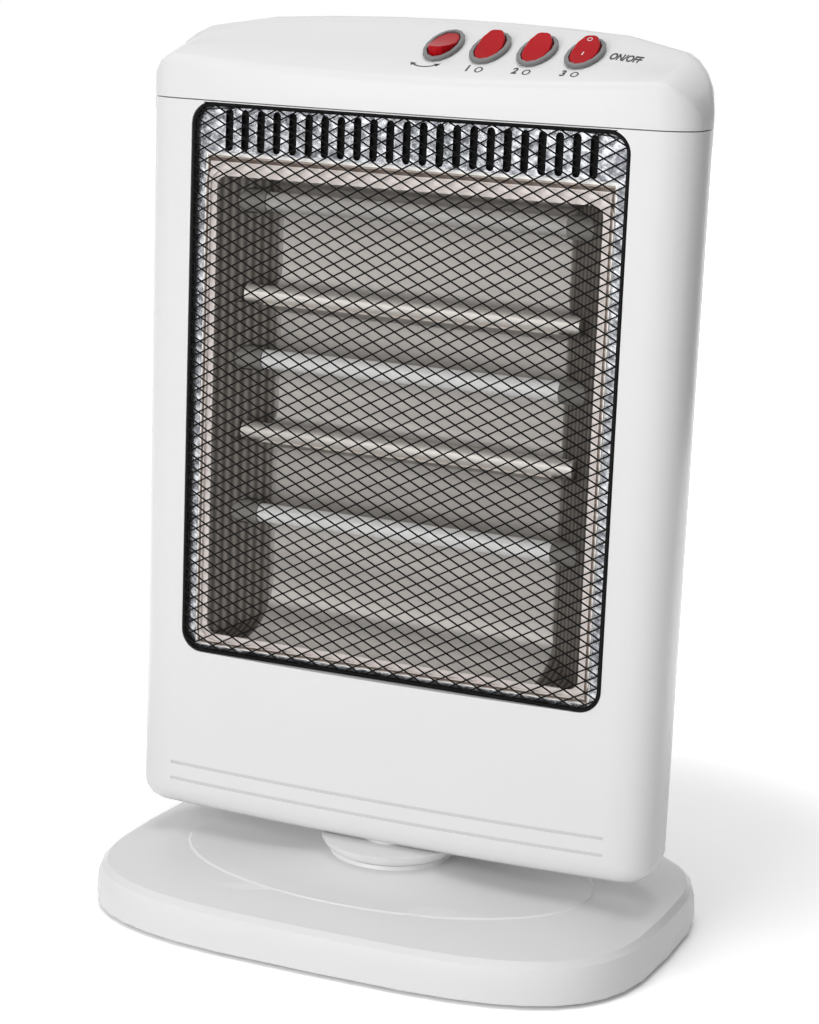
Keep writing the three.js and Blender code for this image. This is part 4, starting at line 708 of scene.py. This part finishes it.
def mesh_guard():
    """Two layers of straight wires that cross in flat diamonds."""
    bm = bmesh.new()
    rise = MESH_PITCH_Z / MESH_PITCH_X
    middle = (WINDOW_BOTTOM + WINDOW_TOP) / 2
    count = int(((WINDOW_TOP - WINDOW_BOTTOM) / 2 + WINDOW_HALF_WIDTH * rise) / MESH_PITCH_Z)
    for lean in (1, -1):
        for index in range(-count, count + 1):
            ends = wire_ends(middle + index * MESH_PITCH_Z, lean * rise)
            if ends is None:
                continue
            (x0, z0), (x1, z1) = ends
            length = math.hypot(x1 - x0, z1 - z0)
            turn = Euler((0, math.atan2(x1 - x0, z1 - z0), 0)).to_matrix().to_4x4()
            at = Vector(((x0 + x1) / 2, MESH_Y + lean * MESH_WIRE * LAYER_SHARE, (z0 + z1) / 2))
            made = bmesh.ops.create_cone(
                bm,
                cap_ends=True,
                segments=WIRE_SIDES,
                radius1=MESH_WIRE,
                radius2=MESH_WIRE,
                depth=length,
                matrix=Matrix.Translation(at) @ turn,
            )
            edges = {edge for vert in made["verts"] for edge in vert.link_edges}
            long_edges = {edge for edge in edges if edge.calc_length() > 3 * MESH_WIRE}
            cuts = max(1, int(length / WIRE_CUT))
            bmesh.ops.subdivide_edges(bm, edges=list(long_edges), cuts=cuts)
    for vert in bm.verts:
        vert.co.y -= crown_at(vert.co.x, vert.co.z)
    return bm


guard = settle(mesh_guard(), "wire_net", black_enamel, "head", 70)
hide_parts("guard_mesh")

# ------------------------------------------------------------------ black sheet behind the slots, painted shade
SLOT_SHADE_MIDDLE = (0.0, -24.0 * MM, 454.0 * MM)
SLOT_SHADE_SIZE = (236 * MM, 0.8 * MM, 33 * MM)


def box_mesh(middle, size):
    """A plain box."""
    bm = bmesh.new()
    bmesh.ops.create_cube(bm, size=1.0)
    bmesh.ops.scale(bm, vec=size, verts=bm.verts)
    bmesh.ops.translate(bm, vec=middle, verts=bm.verts)
    return bm


# A black sheet behind the vent slots: painted shade inside the housing.
settle(box_mesh(SLOT_SHADE_MIDDLE, SLOT_SHADE_SIZE), "slot_painted_shade", black_enamel, "head")

# ------------------------------------------------------------------ lamps
LAMP_HEIGHTS = (415.5 * MM, 324 * MM, 232.5 * MM)
LAMP_RADIUS = 5.7 * MM
LAMP_HALF = 95.6 * MM
LAMP_WALL = 1.0 * MM
LAMP_PINCH = 4 * MM
LAMP_TIP = 0.6 * MM
SHOULDER_SHARE, TIP_SHARE = 0.75, 0.5
COIL_TURNS, COIL_STEPS = 60, 8
COIL_RADIUS, COIL_HALF, COIL_WIRE = 0.8 * MM, 84 * MM, 0.14 * MM


def spun_about_x(profile, y, z, steps=32):
    """A profile of (x, radius) turned about a line along x."""
    bm = bmesh.new()
    verts = [bm.verts.new((x, y, z + radius)) for x, radius in profile]
    edges = [bm.edges.new(pair) for pair in zip(verts, verts[1:])]
    bmesh.ops.spin(
        bm,
        geom=verts + edges,
        cent=(0, y, z),
        axis=(1, 0, 0),
        angle=math.tau,
        steps=steps,
        use_merge=True,
    )
    bmesh.ops.remove_doubles(bm, verts=bm.verts, dist=FINE_WELD)
    bmesh.ops.recalc_face_normals(bm, faces=bm.faces)
    return bm


def rod(half, radius):
    """The profile of a plain rod, for spun_about_x."""
    return [(-half, 0), (-half, radius), (half, radius), (half, 0)]


def lamp_tube(z):
    """A hollow quartz tube with shouldered ends."""
    outer, inner = LAMP_RADIUS, LAMP_RADIUS - LAMP_WALL
    end, pinch = LAMP_HALF, LAMP_HALF - LAMP_PINCH
    shoulder, tip = outer * SHOULDER_SHARE, outer * TIP_SHARE
    profile = [(-end, 0), (-end, tip), (-end + LAMP_TIP, shoulder), (-pinch, outer)]
    profile += [(pinch, outer), (end - LAMP_TIP, shoulder), (end, tip), (end, 0)]
    tube = spun_about_x(profile, SWING_Y, z)
    hollow = spun_about_x(rod(pinch, inner), SWING_Y, z)
    bmesh.ops.reverse_faces(hollow, faces=hollow.faces)
    join_mesh(tube, hollow)
    return tube


def filament(z):
    """The coil of wire along the middle of a lamp."""
    points = []
    count = COIL_TURNS * COIL_STEPS
    for step in range(count + 1):
        angle = step / COIL_STEPS * math.tau
        x = -COIL_HALF + 2 * COIL_HALF * step / count
        y, up = SWING_Y + COIL_RADIUS * math.cos(angle), COIL_RADIUS * math.sin(angle)
        points.append((x, y, z + up))
    return tube_along(points, COIL_WIRE, sides=4)


for index, height in enumerate(LAMP_HEIGHTS, start=1):
    # The top lamp takes the grey glass of painted shade, the others the near-white glass of painted
    # highlight.
    glass = top_lamp_painted_shade_glass if index == 1 else painted_highlight_glass
    tube = settle(lamp_tube(height), f"lamp_{index}_glass", glass, "head", 50)
    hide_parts(f"lamp_{index}")
    settle(filament(height), f"lamp_{index}_filament", tungsten, "head", 180)

# ------------------------------------------------------------------ noses of the reflector's folds, in a lighter copy of the sheet: painted light
NOSE_RADIUS = 5.4 * MM
NOSE_Y = SWING_Y - 2.5 * MM
NOSE_HALF = 103 * MM
NOSE_HEIGHTS = (281.5 * MM, 362.0 * MM)

for name, height in zip(("fold_nose_low", "fold_nose_high"), NOSE_HEIGHTS):
    nose = spun_about_x(rod(NOSE_HALF, NOSE_RADIUS), NOSE_Y, height)
    settle(nose, name, fold_painted_highlight, "head")

# ------------------------------------------------------------------ printed marks
PRINT_DEPTH = 0.12 * MM
PRINT_RISE = 0.05 * MM
PRINT_BOLD = 0.03  # letters are thickened by this share of their height
MARK_BELOW = 24.0 * MM
ICON_WIDTH, ICON_HEIGHT, ICON_LINE = 2.3 * MM, 3.2 * MM, 0.8 * MM
ICON_AT = (3.4 * MM, 0.0)
NUMBER_AT = (-3.4 * MM, 0.8 * MM)
NUMBER_HEIGHT, NUMBER_STRETCH = 6.5 * MM, 1.5
POWER_HEIGHT, POWER_STRETCH = 5.0 * MM, 2.2
OFF_RADIUS, OFF_LINE, OFF_BEHIND = 1.5 * MM, 0.4 * MM, 5.5 * MM
ON_HEIGHT, ON_AHEAD = 4.5 * MM, 5 * MM
ARROW_RADIUS, ARROW_REACH, ARROW_LINE = 10 * MM, 40, 1.1 * MM
ARROW_HEAD_LENGTH, ARROW_HEAD_WIDTH = 3.4 * MM, 3.8 * MM


def surface_of(node):
    """The faces of a CAD node, for rays."""
    bm = bmesh.new()
    bm.from_mesh(nodes[node].data)
    tree = BVHTree.FromBMesh(bm)
    bm.free()
    return tree


CAP_SURFACE = surface_of("top_cap")
ROCKER_SURFACE = surface_of("rocker_4")


def seat_on(surface, x, y):
    """Axes on a surface seen from above: x across, y up the slope, z out of it."""
    at, normal, _, _ = surface.ray_cast(Vector((x, y, 1.0)), Vector((0.0, 0.0, -1.0)))
    across = Vector((1.0, 0.0, -normal.x / normal.z)).normalized()
    up = normal.cross(across)
    turn = Matrix((across, up, normal)).transposed().to_4x4()
    return Matrix.Translation(at + normal * (PRINT_DEPTH / 2 + PRINT_RISE)) @ turn


def middle_of(name):
    low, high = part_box(name)
    return (low[0] + high[0]) / 2, (low[1] + high[1]) / 2


def panel_by(name, along_x, along_y):
    """Axes on the switch panel at a distance from the middle of a switch."""
    x, y = middle_of(name)
    return seat_on(CAP_SURFACE, x + along_x, y + along_y)


def flat_mesh(curve, at=(0.0, 0.0), stretch=1.0):
    """A filled flat curve or text as a mesh with a little thickness, stretched along y."""
    curve.extrude = PRINT_DEPTH / 2
    holder = bpy.data.objects.new("mark", curve)
    scene.collection.objects.link(holder)
    depsgraph = bpy.context.evaluated_depsgraph_get()
    mesh = bpy.data.meshes.new_from_object(holder.evaluated_get(depsgraph))
    mesh.transform(Matrix.Translation((*at, 0.0)) @ Matrix.Diagonal((1.0, stretch, 1.0, 1.0)))
    bpy.data.objects.remove(holder)
    bpy.data.curves.remove(curve)
    return mesh


def text_mesh(words, height, at=(0.0, 0.0), stretch=1.0):
    """Words centred on a point."""
    curve = bpy.data.curves.new("mark", "FONT")
    curve.body = words
    curve.size = height
    curve.align_x = "CENTER"
    curve.align_y = "CENTER"
    curve.offset = height * PRINT_BOLD
    return flat_mesh(curve, at, stretch)


def outline_mesh(outlines, at=(0.0, 0.0)):
    """A flat shape inside closed outlines; one inside another is a hole."""
    curve = bpy.data.curves.new("mark", "CURVE")
    curve.dimensions = "2D"
    curve.fill_mode = "BOTH"
    for points in outlines:
        spline = curve.splines.new("POLY")
        spline.points.add(len(points) - 1)
        for point, (x, y) in zip(spline.points, points):
            point.co = (x, y, 0.0, 1.0)
        spline.use_cyclic_u = True
    return flat_mesh(curve, at)


def oval(half_width, half_height, steps=20):
    """Points round an ellipse."""
    turns = [math.tau * step / steps for step in range(steps)]
    return [(half_width * math.cos(turn), half_height * math.sin(turn)) for turn in turns]


def ring(half_width, half_height, line):
    """The two outlines of an elliptical ring."""
    return [oval(half_width, half_height), oval(half_width - line, half_height - line)]


def printed(name, shapes, matrix, material, body="head"):
    """Flat marks laid on a surface as one piece."""
    bm = bmesh.new()
    for shape in shapes:
        bm.from_mesh(shape)
        bpy.data.meshes.remove(shape)
    bmesh.ops.transform(bm, matrix=matrix, verts=bm.verts)
    bmesh.ops.recalc_face_normals(bm, faces=bm.faces)
    return settle(bm, name, material, body, 30)


def arc(middle_y, radius, start, end, steps=14):
    """Points on a circle whose middle is above the origin, between two angles in degrees."""
    points = []
    for step in range(steps + 1):
        angle = math.radians(start + (end - start) * step / steps)
        points.append((radius * math.cos(angle), middle_y + radius * math.sin(angle)))
    return points


def double_arrow(radius, reach, line, head_length, head_width):
    """A curved line with an arrow head at each end, as one closed outline."""
    inner, outer = radius - line / 2, radius + line / 2
    low = arc(radius, outer, 270 - reach, 270 + reach)
    high = arc(radius, inner, 270 + reach, 270 - reach)
    heads = []
    for side in (1, -1):
        angle = math.radians(270 + side * reach)
        out = Vector((math.cos(angle), math.sin(angle)))
        along = Vector((-out.y, out.x)) * side
        root = out * radius + Vector((0.0, radius))
        wing = out * head_width / 2
        heads.append([root + wing, root + along * head_length, root - wing])
    right, left = heads
    return low + [tuple(p) for p in right] + high + [tuple(p) for p in reversed(left)]


arrow = double_arrow(ARROW_RADIUS, ARROW_REACH, ARROW_LINE, ARROW_HEAD_LENGTH, ARROW_HEAD_WIDTH)
arrow_at = panel_by("switch_1", -3 * MM, -MARK_BELOW)
printed("mark_swing", [outline_mesh([arrow])], arrow_at, print_black)
for number in (1, 2, 3):
    printed(
        f"mark_lamps_{number}",
        [
            text_mesh(str(number), NUMBER_HEIGHT, NUMBER_AT, NUMBER_STRETCH),
            outline_mesh(ring(ICON_WIDTH, ICON_HEIGHT, ICON_LINE), ICON_AT),
        ],
        panel_by(f"switch_{number + 1}", -1 * MM, -MARK_BELOW),
        print_black,
    )
printed(
    "mark_power",
    [text_mesh("ON/OFF", POWER_HEIGHT, stretch=POWER_STRETCH)],
    panel_by("switch_4", 23 * MM, -1 * MM),
    print_black,
)
rocker_x, rocker_y = middle_of("rocker_4")
printed(
    "mark_rocker_off",
    [outline_mesh(ring(OFF_RADIUS, OFF_RADIUS, OFF_LINE))],
    seat_on(ROCKER_SURFACE, rocker_x, rocker_y + OFF_BEHIND),
    print_white,
    "rocker_4",
)
printed(
    "mark_rocker_on",
    [text_mesh("I", ON_HEIGHT)],
    seat_on(ROCKER_SURFACE, rocker_x, rocker_y - ON_AHEAD),
    print_white,
    "rocker_4",
)

# ------------------------------------------------------------------ studio
FLOOR_HALF = 6.0
FLOOR_LIT, FLOOR_SEEN = 0.88, 1.6  # what the object gets from the paper, and how the paper looks
GLOW_START, GLOW_END = 0.30, 0.62  # the paper glows past the shadow, so the picture ends in white
WORLD_LIT = 0.25
CARD_HALF = 0.5

scene.view_settings.view_transform = "Standard"


def seen_mask(tree):
    """One where the floor or world is looked at directly, in a mirror or through glass."""
    path = tree.nodes.new("ShaderNodeLightPath").outputs
    direct = math_node(tree, "ADD", path["Is Camera Ray"], path["Is Glossy Ray"])
    return math_node(tree, "ADD", direct, path["Is Transmission Ray"], clamp=True)


def stage_sheet(name, material_name, half):
    """A flat square object and its node tree."""
    bm = bmesh.new()
    bmesh.ops.create_grid(bm, x_segments=1, y_segments=1, size=half)
    mesh = bpy.data.meshes.new(name)
    bm.to_mesh(mesh)
    bm.free()
    sheet = bpy.data.objects.new(name, mesh)
    scene.collection.objects.link(sheet)
    material = bpy.data.materials.new(material_name)
    material.use_nodes = True
    mesh.materials.append(material)
    return sheet, material.node_tree


def make_floor():
    """Pale paper that keeps the shadow and turns white further out."""
    floor, tree = stage_sheet("studio_floor", "studio_paper", FLOOR_HALF)
    shader = tree.nodes["Principled BSDF"]
    shader.inputs["Roughness"].default_value = 0.9
    shader.inputs["Specular IOR Level"].default_value = 0.0
    seen = seen_mask(tree)
    colour = mixed(tree, seen, grey(FLOOR_LIT), grey(FLOOR_SEEN))
    tree.links.new(colour, shader.inputs["Base Color"])
    where = tree.nodes.new("ShaderNodeTexCoord")
    away = tree.nodes.new("ShaderNodeVectorMath")
    away.operation = "LENGTH"
    tree.links.new(where.outputs["Object"], away.inputs[0])
    far = step_mask(tree, away.outputs["Value"], GLOW_START, GLOW_END)
    shader.inputs["Emission Color"].default_value = (1.0, 1.0, 1.0, 1.0)
    tree.links.new(math_node(tree, "MULTIPLY", far, seen), shader.inputs["Emission Strength"])


def make_world():
    """White where it is seen, and a weak light on the object."""
    world = bpy.data.worlds.new("studio_world")
    scene.world = world
    world.use_nodes = True
    tree = world.node_tree
    background = tree.nodes["Background"]
    background.inputs["Color"].default_value = (1.0, 1.0, 1.0, 1.0)
    level = spread(tree, seen_mask(tree), WORLD_LIT, 1.0, 0.0, 1.0)
    tree.links.new(level, background.inputs["Strength"])


def add_lamp(name, at, aim, size, power):
    """A soft box at a point, turned to its aim."""
    data = bpy.data.lights.new(name, "AREA")
    data.shape = "RECTANGLE"
    data.size, data.size_y = size
    data.energy = power
    lamp = bpy.data.objects.new(name, data)
    lamp.location = at
    lamp.rotation_euler = (Vector(aim) - Vector(at)).to_track_quat("-Z", "Y").to_euler()
    scene.collection.objects.link(lamp)


def add_card(name, at, size, level):
    """A dull card beside the camera's view that tones the reflection in the side of the housing."""
    card, tree = stage_sheet(name, name, CARD_HALF)
    card.location = at
    card.scale = (size[0], size[1], 1.0)
    inward = Vector((0.0, 0.0, at[2])) - Vector(at)
    card.rotation_euler = inward.to_track_quat("Z", "Y").to_euler()
    card.visible_camera = False
    shader = tree.nodes["Principled BSDF"]
    shader.inputs["Base Color"].default_value = (*grey(level), 1.0)
    shader.inputs["Roughness"].default_value = 1.0


make_floor()
make_world()
add_card("side_card", (0.95, 0.95, 0.45), (1.5, 0.9), 0.12)
add_lamp("front_softbox", (-0.7, -2.4, 1.1), (0, 0, 0.25), (1.8, 1.5), 31)
add_lamp("low_softbox", (0.3, -2.3, 0.25), (0, 0, 0.15), (1.8, 0.4), 5)
add_lamp("top_softbox", (0.0, -0.2, 2.4), (0, 0, 0.2), (1.6, 1.6), 18.5)
add_lamp("edge_strip", (1.75, -1.35, 0.7), (0.15, 0, 0.28), (0.3, 1.3), 3)
